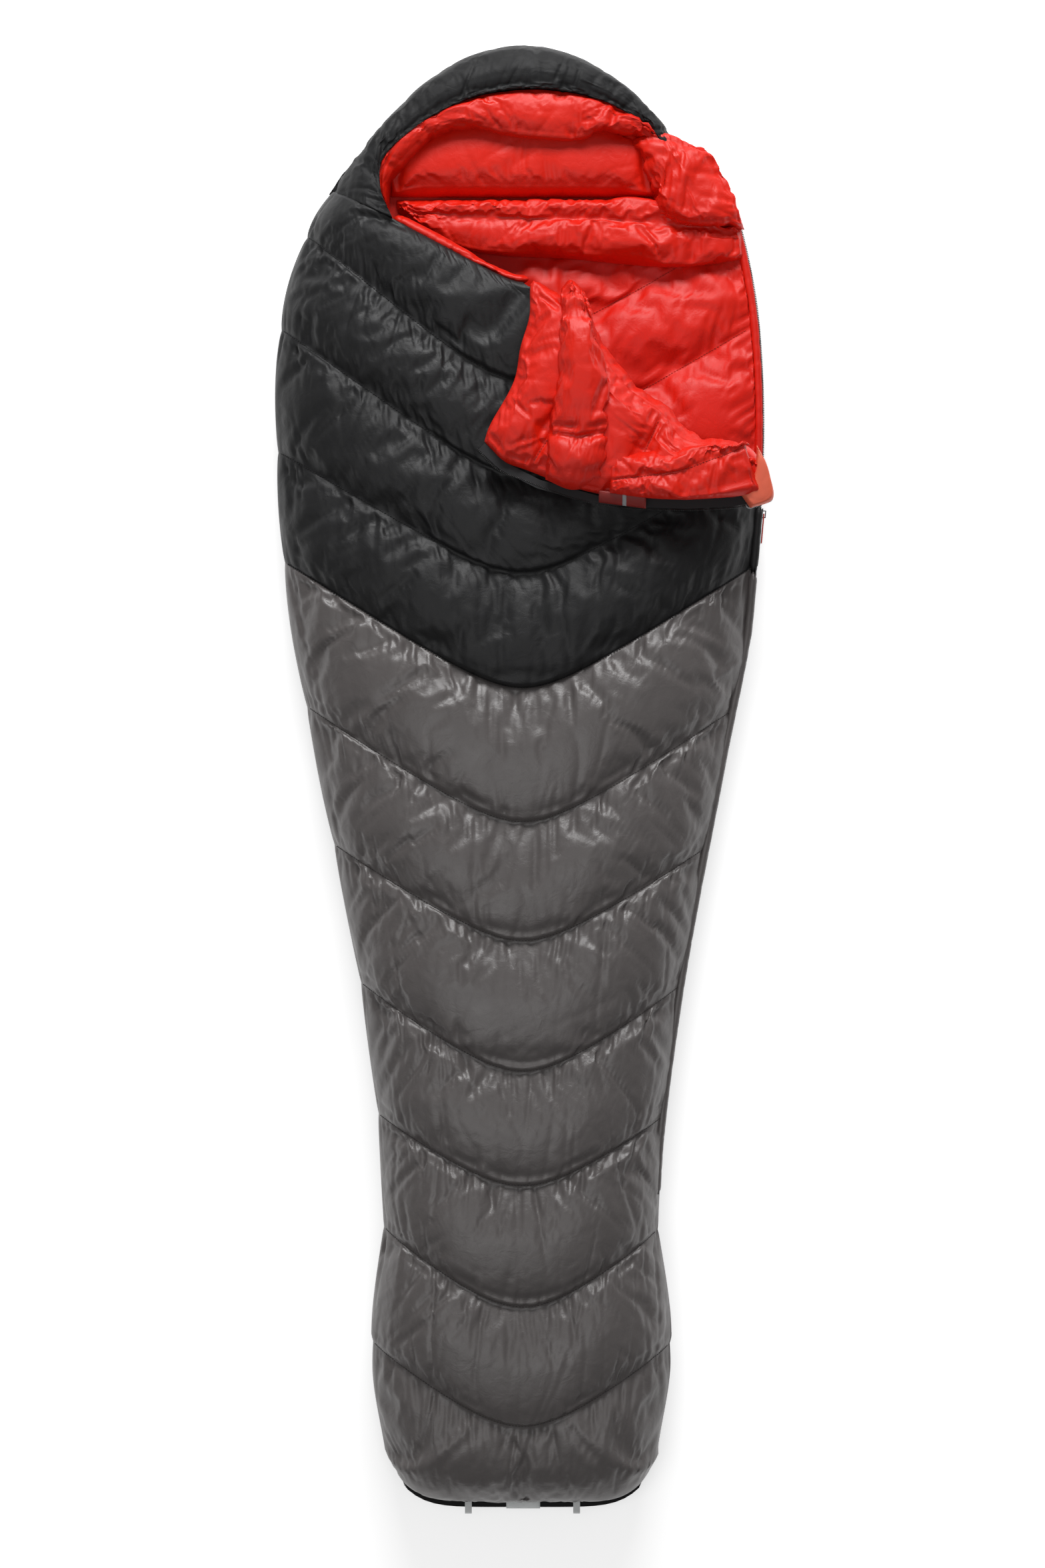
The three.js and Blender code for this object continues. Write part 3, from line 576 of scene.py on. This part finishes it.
def seam_share(rows, seams):
    """For each row, its share of the way from the seam before it to the seam after it."""
    stops = np.array(sorted({0, rows - 1, *seams}))
    i = np.clip(np.searchsorted(stops, np.arange(rows), side="right") - 1, 0, len(stops) - 2)
    return (np.arange(rows) - stops[i]) / (stops[i + 1] - stops[i])


def edge_round(count, power=3.0):
    """1 in the middle of a pad, falling to 0 at both sides."""
    return np.sqrt(np.maximum(0, 1 - np.abs(np.linspace(-1, 1, count))**power))


def cushion(name, lines, rows, columns, low, high, material, nodes, body, seed,
            seams=(), edge=0.55, deep=1.8, gap=15, reach=26, creased=14, tucked=(),
            drop=None):
    """A stuffed pad over a plan made of lines, drawn down at its edges and along its seams."""
    plan = lines_grid(lines, columns, rows)
    starts = np.cumsum([0, *rows])
    seam_rows = [int(starts[k]) for k in seams]
    across, along = edge_round(columns), edge_round(len(plan))
    puff = (across[None, :] * along[:, None]) ** edge
    loft = chamber_loft(seam_share(len(plan), seam_rows))[:, None] if seams else 1.0
    dip = 1 - 0.28 * (1 - loft)
    P = with_height(plan, low + (high - low) * puff * dip)
    P = simulated(P, pinned(P, seam_rows), extra=0.05, cap=5)
    P, seam_rows = refined(P, seam_rows)
    ends = [0, *seam_rows, len(P) - 1]
    P = gathers(P, ends, seed, gap=gap, reach=reach, deep=deep)
    for column in tucked:
        turned = gathers(np.swapaxes(P, 0, 1), [column % P.shape[1]], seed + 2, gap=gap,
                         reach=1.3 * reach, deep=-1.6 * deep)
        P = np.swapaxes(turned, 0, 1)
    P = creases(P, seed + 1, creased, 1.5, long=(25, 90), wide=(3, 7), lean=1.1)
    P[:, :, 2] = np.maximum(P[:, :, 2], low)
    under = coarse_at(P, low - 1 if drop is None else drop)
    make_part(name, P, under, material, nodes, body)
    return P, seam_rows


def tube(name, path, wide, tall, material, nodes, body, seed, ring=24, count=90,
         seams=(6, 18), deep=1.4, gap=14, reach=22, creased=10):
    """A stuffed tube along a path, gathered along its two sides."""
    centre = spline(path, count)
    along = np.gradient(centre, axis=0)
    side = np.stack([along[:, 1], -along[:, 0], 0 * along[:, 0]], axis=1)
    side /= np.linalg.norm(side, axis=1, keepdims=True)
    at = np.linspace(0, 1, count)
    run = at * np.linalg.norm(np.diff(centre, axis=0), axis=1).sum()
    wide, tall = [np.interp(at, np.linspace(0, 1, len(v)), v) for v in (wide, tall)]
    tip = np.minimum(run, run[-1] - run) / 14
    tip = np.sqrt(np.clip(1 - (1 - np.clip(tip, 0, 1)) ** 2, 0.02, 1))
    turn = np.linspace(0, 2 * np.pi, ring, endpoint=False) - np.pi / 2
    P = (centre[None] + side[None] * (np.cos(turn)[:, None] * (wide * tip)[None])[:, :, None])
    P[:, :, 2] += np.sin(turn)[:, None] * (tall * tip)[None]
    P = np.concatenate([P, P[:1]])
    P = halved(halved(P, 0), 1)
    P = gathers(P, [2 * s for s in seams], seed, gap=gap, reach=reach, deep=deep)
    P = creases(P, seed + 1, creased, 1.8, long=(18, 60), wide=(3, 7), lean=1.2)[:-1]
    points, faces = closed_tube(np.swapaxes(P, 0, 1)[:, ::-1])
    padded_piece(name, points, faces, material, nodes, body)


# ---- Top quilt ----
def crest_at(y):
    return np.interp(y, [-1000, 400], CREST_Z)


def top_height(x, y, t):
    foot = 1 - (y - foot_end(x)) / FOOT_ROUND
    p = np.maximum(across_share(x, y), foot)
    full = soft(p)
    # the quilt stays full beside the cheek, where the hood runs out of it
    cheek = np.clip((-150 - x) / 60, 0, 1) * np.clip((y - 760) / 60, 0, 1)
    loft = np.maximum(chamber_loft(t), 0.8 * cheek)
    return SEAM_Z + 1 + (crest_at(y) - SEAM_Z - 1) * full + 15 * loft * full**0.6


def side_scallop(t):
    """The side is drawn in at each seam end and stands out between them."""
    return 2.0 + 4.0 * np.clip(4 * t * (1 - t), 0, 1) ** 0.7


def top_grid(columns, pitch):
    """The whole top quilt as rows of points, with the index of each seam's row."""
    curves = [foot_end, *[chevron(y, s) for y, s in TOP_SEAMS], chevron(*NECK)]
    share = arch_shares(columns)
    rows, seams = [], [0]
    for i, (low, high) in enumerate(zip(curves, curves[1:])):
        count = 2 * max(2, round((high(0.0) - low(0.0)) / pitch / 2))
        for k in range(0 if i == 0 else 1, count + 1):
            t = k / count
            t = t**1.5 if i == 0 else t

            def curve(x, low=low, high=high, t=t):
                return (1 - t) * low(x) + t * high(x)
            left, right = row_ends(curve, i >= BLACK_FROM)
            side = 0.0 if i == 0 else side_scallop(t)
            over_zip = np.clip((225 - curve(right)) / 60, 0, 1)
            spare = side - 3.5 + 8 * over_zip if right > 330 or i < BLACK_FROM else 0
            x = left - side + (right + spare - left + side) * share
            y = curve(x)
            loft = t if i else min(1.0, 0.5 + 0.5 * t)
            inside = left + (right - left) * share
            z = top_height(inside, curve(inside), loft)
            z = np.where(x > 0, np.maximum(z, SEAM_Z + 1 + 6 * over_zip), z)
            rows.append(np.stack([x, y, z], axis=1))
        seams.append(len(rows) - 1)
    return np.stack(rows), seams


def make_top_quilt():
    P, seams = top_grid(97, 8.0)
    columns = np.arange(P.shape[1])
    freedom = np.clip((np.minimum(columns, columns[::-1]) - 1) / 9, 0, 1)[None, :, None]
    P = P + (simulated(P, pinned(P, seams), extra=0.035, cap=8) - P) * freedom
    P, seams = refined(P, seams)
    inner = seams[1:-1]
    P = gathers(P, inner, 11, gap=14, reach=50, deep=2.4, strong=1.6)
    P = creases(P, 12, 90, 1.2)
    x, y = P[:, :, 0], P[:, :, 1]
    # the wrinkle in the middle of the foot
    P[:, :, 2] -= 7 * np.exp(-((x - 4) / 7) ** 2) * np.clip((-965 - y) / 40, 0, 1) * (y > -1066)
    ceiling = P[::COARSE, ::COARSE].copy()
    ceiling[:, :, 2] = np.clip(ceiling[:, :, 2] - 8, *CEILING_Z)
    ceiling[:, 0, 2] = ceiling[0, :, 2] = TUCK_Z
    border = seams[BLACK_FROM]
    make_part("legs_quilt", P[:border + 1], ceiling[:border // COARSE + 1], GREY, [
        "top_shell_grey", *[f"top_down_chamber_{n:02d}" for n in range(1, 8)],
        *[f"top_baffle_wall_{n:02d}" for n in range(1, 7)]])
    make_part("chest_quilt", P[border:], ceiling[border // COARSE:], BLACK, [
        "top_shell_black", *[f"top_down_chamber_{n:02d}" for n in range(8, 12)],
        *[f"top_baffle_wall_{n:02d}" for n in range(7, 11)]])
    lining = P[::2, ::2][5:, 9:-9].copy()
    lining[:, :, 0] *= 0.985
    lining[:, :, 2] = np.clip(lining[:, :, 2] - 18, 62, 99.5)
    closed_strip("top_quilt_lining", lining, 0.8, RED_DEEP, ["top_lining"], "bag")
    lift = np.array([0, 0, 0.5])
    stitches("stitches_legs", [P[s, 3:-3] + lift for s in seams[1:BLACK_FROM]], THREAD_GREY,
             "bag")
    stitches("stitches_chest", [P[s, 3:-3] + lift for s in seams[BLACK_FROM:-1]], THREAD_DARK,
             "bag")


def make_foot_tag():
    """A small blank tag sewn into the seam at the foot."""
    x, fall = np.meshgrid(np.linspace(-24, 26, 11), np.linspace(0, 1, 6))
    P = np.stack([x, -1070 - 16 * fall, 60 - 5 * fall**2], axis=2)
    closed_strip("foot_tag", P, 0.6, WEBBING, (), "bag")


# ---- Back quilt ----
def back_grid(columns, pitch, inset):
    curves = [lambda x: foot_end(x) + 3 * inset, *[chevron(y, s) for y, s in BACK_SEAMS],
              lambda x: HEAD_SEAM + 0 * x]
    share = (1 + np.sin(np.linspace(-np.pi / 2, np.pi / 2, columns))) / 2
    rows, seams, shares = [], [0], []
    for i, (low, high) in enumerate(zip(curves, curves[1:])):
        count = 2 * max(2, round((high(0.0) - low(0.0)) / pitch(i) / 2))
        for k in range(0 if i == 0 else 1, count + 1):
            t = k / count

            def curve(x, low=low, high=high, t=t):
                return (1 - t) * low(x) + t * high(x)
            left, right = row_ends(curve, False)
            tucks = 6 if curve(right) < 385 else 4
            x = left + 3 * inset + (right - left - tucks * inset) * share
            rows.append(np.stack([x, curve(x)], axis=1))
            shares.append(t)
        seams.append(len(rows) - 1)
    last = rows[-1]
    x = np.linspace(-222 + 4 * inset, 238 - 4 * inset, columns)
    crown = np.stack([x, crown_end(x) - 3 * inset], axis=1)
    for k in range(1, 17):
        rows.append(last + (crown - last) * k / 16)
        shares.append(k / 16)
    seams.append(len(rows) - 1)
    return np.stack(rows), seams, np.array(shares)


def make_back_quilt():
    plan, seams, t = back_grid(73, lambda i: 9.0 if i > 5 else 40.0, 5.0)
    x, y = plan[:, :, 0], plan[:, :, 1]
    open_share = (np.clip((y - fold_y(x)) / 50 + 0.6, 0, 1) * np.clip((760 - y) / 60, 0, 1)
                  * np.clip((x + 20) / 70, 0, 1))
    loft = 17 * chamber_loft(t)[:, None] * open_share * bluff(np.abs(across_share(x, y)), 6)
    P = with_height(plan, LINING_Z + loft)
    P = simulated(P, pinned(P, seams) | (open_share < 0.05), extra=0.04, cap=7)
    P, seams = refined(P, seams)
    P = gathers(P, seams[7:9], 31, gap=16, reach=40, deep=1.8)
    P = creases(P, 32, 26, 1.6)
    P[:, :, 2] = np.maximum(P[:, :, 2], 57.2)
    closed_strip("back_quilt_lining", P, 0.8, RED_DEEP, ["back_lining"], "bag")
    lift = np.array([0, 0, 0.4])
    middle = P.shape[1] // 2
    stitches("stitches_back", [P[s, middle:-3] + lift for s in seams[7:9]], THREAD_RED, "bag")


def make_underside():
    """The outer side of the back quilt, curled up to the side seams."""
    plan, seams, t = back_grid(65, lambda i: 16.0, 0.0)
    x, y = plan[:, :, 0], plan[:, :, 1]
    p = np.maximum.reduce([across_share(x, y), 1 - (y - foot_end(x)) / FOOT_ROUND,
                           1 - (crown_end(x) - y) / 260])
    q = np.clip((p - 0.6) / 0.4, 0, 1)
    rise = 50 * (1 - np.sqrt(1 - q * q))
    tuck = (1 - chamber_loft(t))[:, None] * (2 + 5 * q)
    P = with_height(plan, 0.6 + rise * 0.985 + tuck * (rise < 49))
    P[:, :, 1] -= 10 * np.exp(-((y - foot_end(x)) / 25) ** 2) * (np.abs(x) < 175)
    P, seams = refined(P, seams)
    P = gathers(P, seams[1:-1], 41, gap=18, reach=30, deep=-1.2)
    P[:, :, 2] = np.maximum(P[:, :, 2], 0.3)
    make_part("underside_quilt", P, coarse_at(P, BACK_TOP_Z), BLACK,
              ["back_shell", *[f"back_down_chamber_{n:02d}" for n in range(1, 11)]])


# ---- Hood and pads ----
def make_hood():
    stations = np.array(HOOD, float)
    outer, rim = spline(stations[:, [0, 1, 4]], 129), spline(stations[:, 2:], 129)
    share = arch_shares(29, 0.6)
    heights = np.interp(share, [0, 0.1, 0.3, 0.55, 0.85, 1], [0, 0.5, 0.86, 1.0, 1.0, 0.88])
    smooth = np.convolve(np.pad(heights, 2, mode="edge"), np.ones(5) / 5, "valid")
    smooth[[0, -1]] = heights[[0, -1]]
    plan = outer[:, None, :2] + (rim - outer)[:, None, :2] * share[None, :, None]
    low = SEAM_Z + 1
    arch = low + (outer[:, 2][:, None] - low) * smooth[None, :]
    neck = top_height(plan[:, :, 0], plan[:, :, 1], 0.5)
    joined = np.clip(np.linspace(0, 1, 129) / 0.2, 0, 1)[:, None]
    joined = joined * joined * (3 - 2 * joined)
    P = with_height(plan, neck * (1 - joined) + arch * joined)
    P = simulated(P, pinned(P), extra=0.03, cap=6)
    P, _ = refined(P)
    across = np.swapaxes(P, 0, 1)
    across = gathers(across, [across.shape[0] - 1], 52, gap=12, reach=40, deep=-2.6)
    P = np.swapaxes(gathers(across, [0], 54, gap=26, reach=20, deep=-1.0), 0, 1)
    P = creases(P, 53, 24, 1.2, long=(30, 90), wide=(4, 9), lean=1.0)
    under = coarse_at(P, 60.2)
    under[:, 0, 2] = TUCK_Z
    make_part("hood_quilt", P, under, HOOD_BLACK,
              ["hood_shell", "hood_down_cheek", "hood_down_crown"])
    cushion("face_roll", [
        [(-197, 826), (-192, 862), (-160, 902), (-117, 936), (-60, 941), (4, 932), (74, 928),
         (120, 938), (165, 934), (214, 916)],
        [(-203, 832), (-205, 872), (-182, 914), (-138, 946), (-75, 966), (0, 970), (74, 966),
         (130, 960), (180, 946), (222, 924)],
        [(-206, 838), (-210, 882), (-188, 922), (-140, 958), (-75, 988), (0, 1001), (68, 997),
         (128, 981), (178, 958), (228, 934)],
    ], [9, 9], 113, 61, 130, RED, ["hood_face_roll"], "bag", 61, edge=0.6, deep=4.8,
        gap=21, reach=36, creased=44)


def make_neck_binding():
    """The lining rolled over the edge of the neck opening."""
    x = np.linspace(-188, 9, 12)
    edge = chevron(*NECK)(x)
    tube("neck_binding", np.stack([x, edge + 5, 140 - 0.0005 * x * x], axis=1), (9, 10, 8, 7),
         (14, 14), RED, [], "bag", 56, ring=16, count=60, seams=(4, 12), deep=1.6,
         gap=13, creased=10)


def make_head_pads():
    cushion("head_cushion", [
        [(-194, 852), (0, 851), (198, 852)], [(-196, 888), (0, 890), (190, 890)],
        [(-176, 922), (0, 934), (176, 930)], [(-130, 954), (0, 968), (146, 950)],
    ], [8, 8, 8], 65, 61, 96, RED, ["head_pad"], "bag", 71, creased=20, deep=2.4,
        gap=22, reach=30)
    cushion("hood_side_cushion", [
        [(198, 822), (250, 806), (328, 804)], [(192, 852), (250, 838), (315, 842)],
        [(174, 892), (230, 890), (286, 896)], [(154, 940), (200, 944), (237, 932), (270, 919)],
    ], [8, 8, 8], 41, 61, 116, RED, ["hood_side_pad"], "bag", 74, creased=40, deep=3.4,
        gap=16, reach=38, tucked=(0, -1))
    cushion("neck_collar", [
        [(-184, 830), (-146, 801), (-60, 769), (74, 760), (225, 748), (326, 760)],
        [(-186, 838), (-140, 826), (0, 817), (120, 815), (230, 806), (324, 797)],
        [(-186, 847), (-100, 848), (60, 848), (192, 846), (228, 816), (320, 808)],
    ], [12, 8], 97, 61, 98, RED, ["shoulder_collar"], "bag", 77, seams=(1,),
        creased=30, gap=20, deep=2.2, reach=24, tucked=(0, -1))


# ---- Flap ----
# Lines across the flap, from its neck end to its corner, each from the fold to the zip edge.
FLAP_LINES = [
    [(16, 712), (11, 700), (10, 660), (-3, 615), (-13, 565), (-46, 505), (-55, 480)],
    [(60, 672), (40, 616), (6, 540), (-28, 452)],
    [(113, 606), (66, 528), (8, 438)],
    [(150, 558), (112, 484), (75, 413)],
    [(202, 520), (172, 456), (140, 400)],
    [(232, 484), (222, 440), (215, 396)],
    [(292, 470), (291, 434), (290, 398)],
    [(344, 449), (344, 428), (343, 406)],
]
FLAP_ROWS = [10, 10, 10, 10, 8, 8, 8]
FLAP_SEAMS = [2, 4]
FLAP_EDGE_Z = 197       # the flap's lining at its edges and seams
FLAP_MIDDLE_Z = 186     # where the lining's half of the flap ends
FLAP_TUBE_Z = 205       # the hidden side of the collar and the draught tube


def make_flap():
    columns = 41
    plan = lines_grid(FLAP_LINES, columns, FLAP_ROWS)
    starts = np.cumsum([0, *FLAP_ROWS])
    seams = [int(starts[k]) for k in FLAP_SEAMS]
    u = np.linspace(0, 1, columns)
    outer = np.sqrt(1 - np.clip((u - 0.72) / 0.28, 0, 1) ** 2.4)
    inner = np.sqrt(1 - np.clip((0.2 - u) / 0.2, 0, 1) ** 2.4 * 0.85)
    v = np.linspace(0, 1, len(plan))
    neck = np.sqrt(1 - np.clip((0.1 - v) / 0.1, 0, 1) ** 2)
    rise = (outer * inner)[None, :] * (0.25 + 0.75 * neck)[:, None]
    loft = chamber_loft(seam_share(len(plan), seams))[:, None]
    P = with_height(plan, FLAP_EDGE_Z + rise * (13 + 13 * loft))
    P = simulated(P, pinned(P, seams), extra=0.05, cap=6)
    P, seams = refined(P, seams)
    P = gathers(P, [0, *seams, len(P) - 1], 81, gap=13, reach=32, deep=2.0)
    P = np.swapaxes(gathers(np.swapaxes(P, 0, 1), [0, P.shape[1] - 1], 82, gap=11, reach=26,
                            deep=-2.6), 0, 1)
    P = creases(P, 83, 60, 1.8, long=(30, 90), wide=(3, 8), lean=1.2)
    make_part("flap_quilt", P, coarse_at(P, FLAP_MIDDLE_Z), RED,
              ["flap_lining", "flap_down_neck", "flap_down_middle", "flap_down_zip"], "flap")
    make_flap_shell(P, seams)
    stitches("stitches_flap", [P[s, 6:-4] + np.array([0, 0, 0.4]) for s in seams], THREAD_RED,
             "flap")


def make_flap_shell(P, seams):
    """The flap's outer fabric, which faces down at rest."""
    low = P.copy()
    u = np.linspace(0, 1, P.shape[1])
    loft = chamber_loft(seam_share(len(P), seams))[:, None]
    outside = np.clip((u - 0.8) / 0.2, 0, 1)[None, :] ** 2
    low[:, :, 2] = 173.5 + np.maximum(11 * outside, 8 * (1 - loft))
    low = gathers(low, seams, 84, gap=13, reach=34, deep=-2.4)
    low = creases(low, 85, 50, -1.8, long=(30, 90), wide=(3, 8), lean=1.2)
    low[:, :, 2] = np.clip(low[:, :, 2], 173.2, 184.5)
    make_part("flap_shell_fabric", low, coarse_at(low, FLAP_MIDDLE_Z - 0.4), BLACK,
              ["flap_shell"], "flap")


def make_flap_tubes():
    cushion("flap_neck_collar", [
        [(33, 424), (74, 409), (120, 424)], [(36, 488), (80, 484), (127, 492)],
        [(46, 570), (82, 576), (124, 566)], [(52, 650), (76, 662), (104, 646)],
        [(56, 700), (70, 712), (90, 694)],
    ], [10, 12, 12, 8], 37, 206, 251, RED, ["flap_collar"], "flap", 91, seams=(1,),
        edge=0.65, deep=3.0, gap=13, reach=26, creased=34, tucked=(-1,), drop=FLAP_TUBE_Z)
    lines = [
        [(126, 404), (180, 397), (237, 395), (303, 399), (343, 406)],
        [(125, 422), (219, 434), (273, 452), (322, 470)],
        [(124, 458), (201, 466), (260, 473), (328, 474)],
    ]
    P, seams = cushion("flap_draft_tube", lines, [8, 8], 57, 214, 234, RED,
                       ["draft_tube"], "flap", 95, seams=(1,), creased=16, gap=11, deep=2.0,
                       drop=FLAP_TUBE_Z)
    stitches("stitches_draft_tube", [P[seams[0], 3:-3] + np.array([0, 0, 0.4])], THREAD_RED,
             "flap")


def make_flap_trim():
    """The corner tab with its pale piping, and the label sewn along the edge."""
    tab = lines_grid([[(314, 404), (329, 383)], [(330, 424), (361, 396)], [(337, 454), (357, 430)],
                      [(338, 474), (350, 452)]], 13, [8, 8, 8])
    share = edge_round(13, 2.5)[None, :] * edge_round(len(tab), 2.5)[:, None]
    T = with_height(tab, 205 + 12 * share**0.5)
    T, _ = refined(T)
    T = creases(T, 97, 8, 1.2, long=(12, 40), wide=(2, 5), lean=1.5)
    make_part("zip_corner_tab", T, coarse_at(T, 199), SALMON, (), "flap")
    edge = [(322, 388, 203), (327, 383, 203), (343, 389, 203), (360, 396, 203), (357, 420, 203),
            (351, 446, 203)]
    tube("zip_corner_piping", edge, (1.3, 1.3), (1.3, 1.3), LABEL, [], "flap", 98,
         ring=8, count=40, seams=(2, 6), deep=0.1, creased=0)
    x, fall = np.meshgrid(np.linspace(110, 178, 25), np.linspace(0, 1, 7))
    label = np.stack([x, 408 - 0.13 * (x - 110) - 17 * fall, 212 - 9 * fall**2], axis=2)[::-1]
    closed_strip("care_label", label, 0.5, LABEL_RED, (), "flap")
    closed_strip("care_label_bar", (label + [0, 0, 0.6])[:, 12:15], 0.4, LABEL, (),
                 "flap")


def make_fold():
    """Cloth round the fold: the lining outside it and the shell in its crease."""
    x = np.linspace(17, 344, 81)
    edge = spline(list(zip(x, fold_y(x))), 121)
    along = np.gradient(edge, axis=0)
    side = np.stack([-along[:, 1], along[:, 0]], axis=1)
    side /= np.linalg.norm(side, axis=1, keepdims=True)
    turn = np.linspace(np.pi / 2, -np.pi / 2, 25)
    ends = edge_round(121, 6.0)
    out = (np.cos(turn)[:, None] ** 0.7 * (26 * (0.4 + 0.6 * ends))[None, :] - 9)[:, :, None]
    P = with_height(edge[None] + side[None] * out, (151 + 49 * np.sin(turn))[:, None])
    P = halved(P, 0)
    P = gathers(P, [0, 24, len(P) - 1], 101, gap=14, reach=34, deep=3.0)
    P = creases(P, 102, 44, 2.4, long=(20, 70), wide=(3, 8), lean=1.5)
    piece = closed_strip("fold_lining", P, 1.2, RED)
    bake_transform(piece)
    turn = np.linspace(-1, 1, 13)
    inward = (-13 * np.abs(turn))[:, None, None]
    P = with_height(edge[None] + side[None] * inward, (172.2 + 2.2 * turn)[:, None])
    piece = closed_strip("fold_shell", P, 0.5, BLACK)
    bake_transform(piece)


# ---- Zip ----
ZIP_OFFSET = 8                  # from the fabric edge to the middle of the tape
STRAIGHT_ZIP = (215, 415)       # y range where the zip runs dead straight


def zip_x(y):
    low, high = STRAIGHT_ZIP
    straight = np.interp(y, [low, high], [width_at(ZIP_SIDE, v) for v in STRAIGHT_ZIP])
    return ZIP_OFFSET + np.where((y > low) & (y < high), straight, width_at(ZIP_SIDE, y))


def teeth(name, path, up, material, nodes, body, pitch=2.6):
    """A zip's coil: one small hooked loop after another."""
    run = run_along(path)
    points, faces = [], []
    up = np.array(up, float)
    for s in np.arange(0.5, run[-1] - pitch, pitch):
        a, b = points_at(s, path, run), points_at(s + 1.5, path, run)
        along = (b - a) / np.linalg.norm(b - a)
        side = np.cross(along, up)
        k = len(points)
        for at in (a, b):
            points += [at - side * 1.3 - up * 0.8, at + side * 1.3 - up * 0.8,
                       at + side + up * 0.8, at - side + up * 0.8]
        faces += box_sides(k)
        faces += [(k + 3, k + 2, k + 1, k), (k + 4, k + 5, k + 6, k + 7)]
    piece = add_mesh(name, np.array(points), faces, material, body)
    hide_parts(*nodes)
    return piece


def make_zip():
    def path(low, high, z, inset=0.0, pitch=9.0):
        y = np.linspace(low, high, round((high - low) / pitch) + 1)
        return np.stack([zip_x(y) - inset, y, 0 * y + z], axis=1)
    teeth("zip_teeth_upper", path(-620, 392, 61.6), (0, 0, 1), NYLON_COIL, ["zip_coil_upper"],
          "bag")
    teeth("zip_teeth_lower", path(-619, 905, 58.4), (0, 0, 1), NYLON_COIL, ["zip_coil_lower"],
          "bag")
    for name, low, high, z, cloth, finish in (
            ("zip_flange_legs", -622, 298, 72, GREY, "shell_grey"),
            ("zip_flange_chest", 298, 396, 72, BLACK, "shell_black"),
            ("zip_flange_lower", -622, 396, 48, BLACK, "shell_black"),
            ("zip_flange_lining", 398, 902, 58, RED_DEEP, "lining")):
        inset = 7.0 if cloth is RED_DEEP else 3.0
        tube(name, path(low, high, z, inset, 30.0), (6.4, 6.4), (6.2, 6.2), cloth, [],
             "bag", 111, ring=12, count=round((high - low) / 9), seams=(3, 9), deep=0.7, gap=11,
             creased=0)
    edge = spline([line[-1] for line in FLAP_LINES], 60)
    along = np.gradient(edge, axis=0)
    out = np.stack([along[:, 1], -along[:, 0]], axis=1)
    out /= np.linalg.norm(out, axis=1, keepdims=True)
    coil = np.column_stack([edge + out * 15.4, np.full(60, 197.3)])
    teeth("flap_zip_teeth", coil, (0, 0, 1), NYLON_COIL, ["flap_zip_coil"], "flap")


def finish_cad_nodes():
    """Materials for the CAD pieces that stay as they are."""
    looks = {"zip_tape": TAPE, "flap_zip_tape": TAPE, "zip_slider": ZINC, "zip_puller": PULL,
             "hang_loop": WEBBING}
    for name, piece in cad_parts.items():
        for start, material in looks.items():
            if name.startswith(start):
                piece.data.materials.clear()
                piece.data.materials.append(material)


make_top_quilt()
make_foot_tag()
make_back_quilt()
make_underside()
make_hood()
make_neck_binding()
make_head_pads()
make_flap()
make_flap_tubes()
make_flap_trim()
make_fold()
make_zip()
finish_cad_nodes()


# ---- Stage, in metres but for the floor ----
FLOOR_REACH = 4e4       # mm
FLOOR_Z = -0.4          # mm
FLOOR_GLOW = 0.56
WORLD_LIGHT = 0.19
KEY_POWER, TOP_POWER = 132, 22


def area_light(name, place, target, size, power):
    data = bpy.data.lights.new(name, "AREA")
    data.shape, data.size, data.size_y, data.energy = "RECTANGLE", size[0], size[1], power
    lamp = bpy.data.objects.new(name, data)
    lamp.location = place
    lamp.rotation_euler = (Vector(target) - Vector(place)).to_track_quat("-Z", "Y").to_euler()
    bpy.context.scene.collection.objects.link(lamp)


def make_stage():
    material, _, shader = new_material("floor_paper")
    shader.inputs["Base Color"].default_value = (0.92, 0.92, 0.92, 1)
    shader.inputs["Roughness"].default_value = 0.9
    shader.inputs["Emission Color"].default_value = (1, 1, 1, 1)
    shader.inputs["Emission Strength"].default_value = FLOOR_GLOW
    corners = [(x * FLOOR_REACH, y * FLOOR_REACH, FLOOR_Z)
               for x, y in ((-1, -1), (1, -1), (1, 1), (-1, 1))]
    floor = add_mesh("floor", corners, [(0, 1, 2, 3)], material)
    world = bpy.data.worlds.new("studio")
    world.use_nodes = True
    world.node_tree.nodes["Background"].inputs["Color"].default_value = (1, 1, 1, 1)
    world.node_tree.nodes["Background"].inputs["Strength"].default_value = WORLD_LIGHT
    bpy.context.scene.world = world
    bpy.context.scene.view_settings.view_transform = "Standard"
    area_light("key", (0.15, 3.3, 2.2), (0, 0.1, 0.1), (2.6, 1.1), KEY_POWER)
    area_light("top", (-0.6, -0.9, 3.4), (0, -0.6, 0), (1.6, 2.6), TOP_POWER)


CAMERA_HEIGHT = 6.0     # above the side seams
FRAME_LONG = 2.317      # length of the frame at the side seams' height


def make_camera():
    data = bpy.data.cameras.new("camera")
    data.lens = data.sensor_width * CAMERA_HEIGHT / FRAME_LONG
    camera = bpy.data.objects.new("camera", data)
    camera.location = (0, -0.015, CAMERA_HEIGHT + SEAM_Z * MM)
    bpy.context.scene.collection.objects.link(camera)
    bpy.context.scene.camera = camera


make_camera()
make_stage()
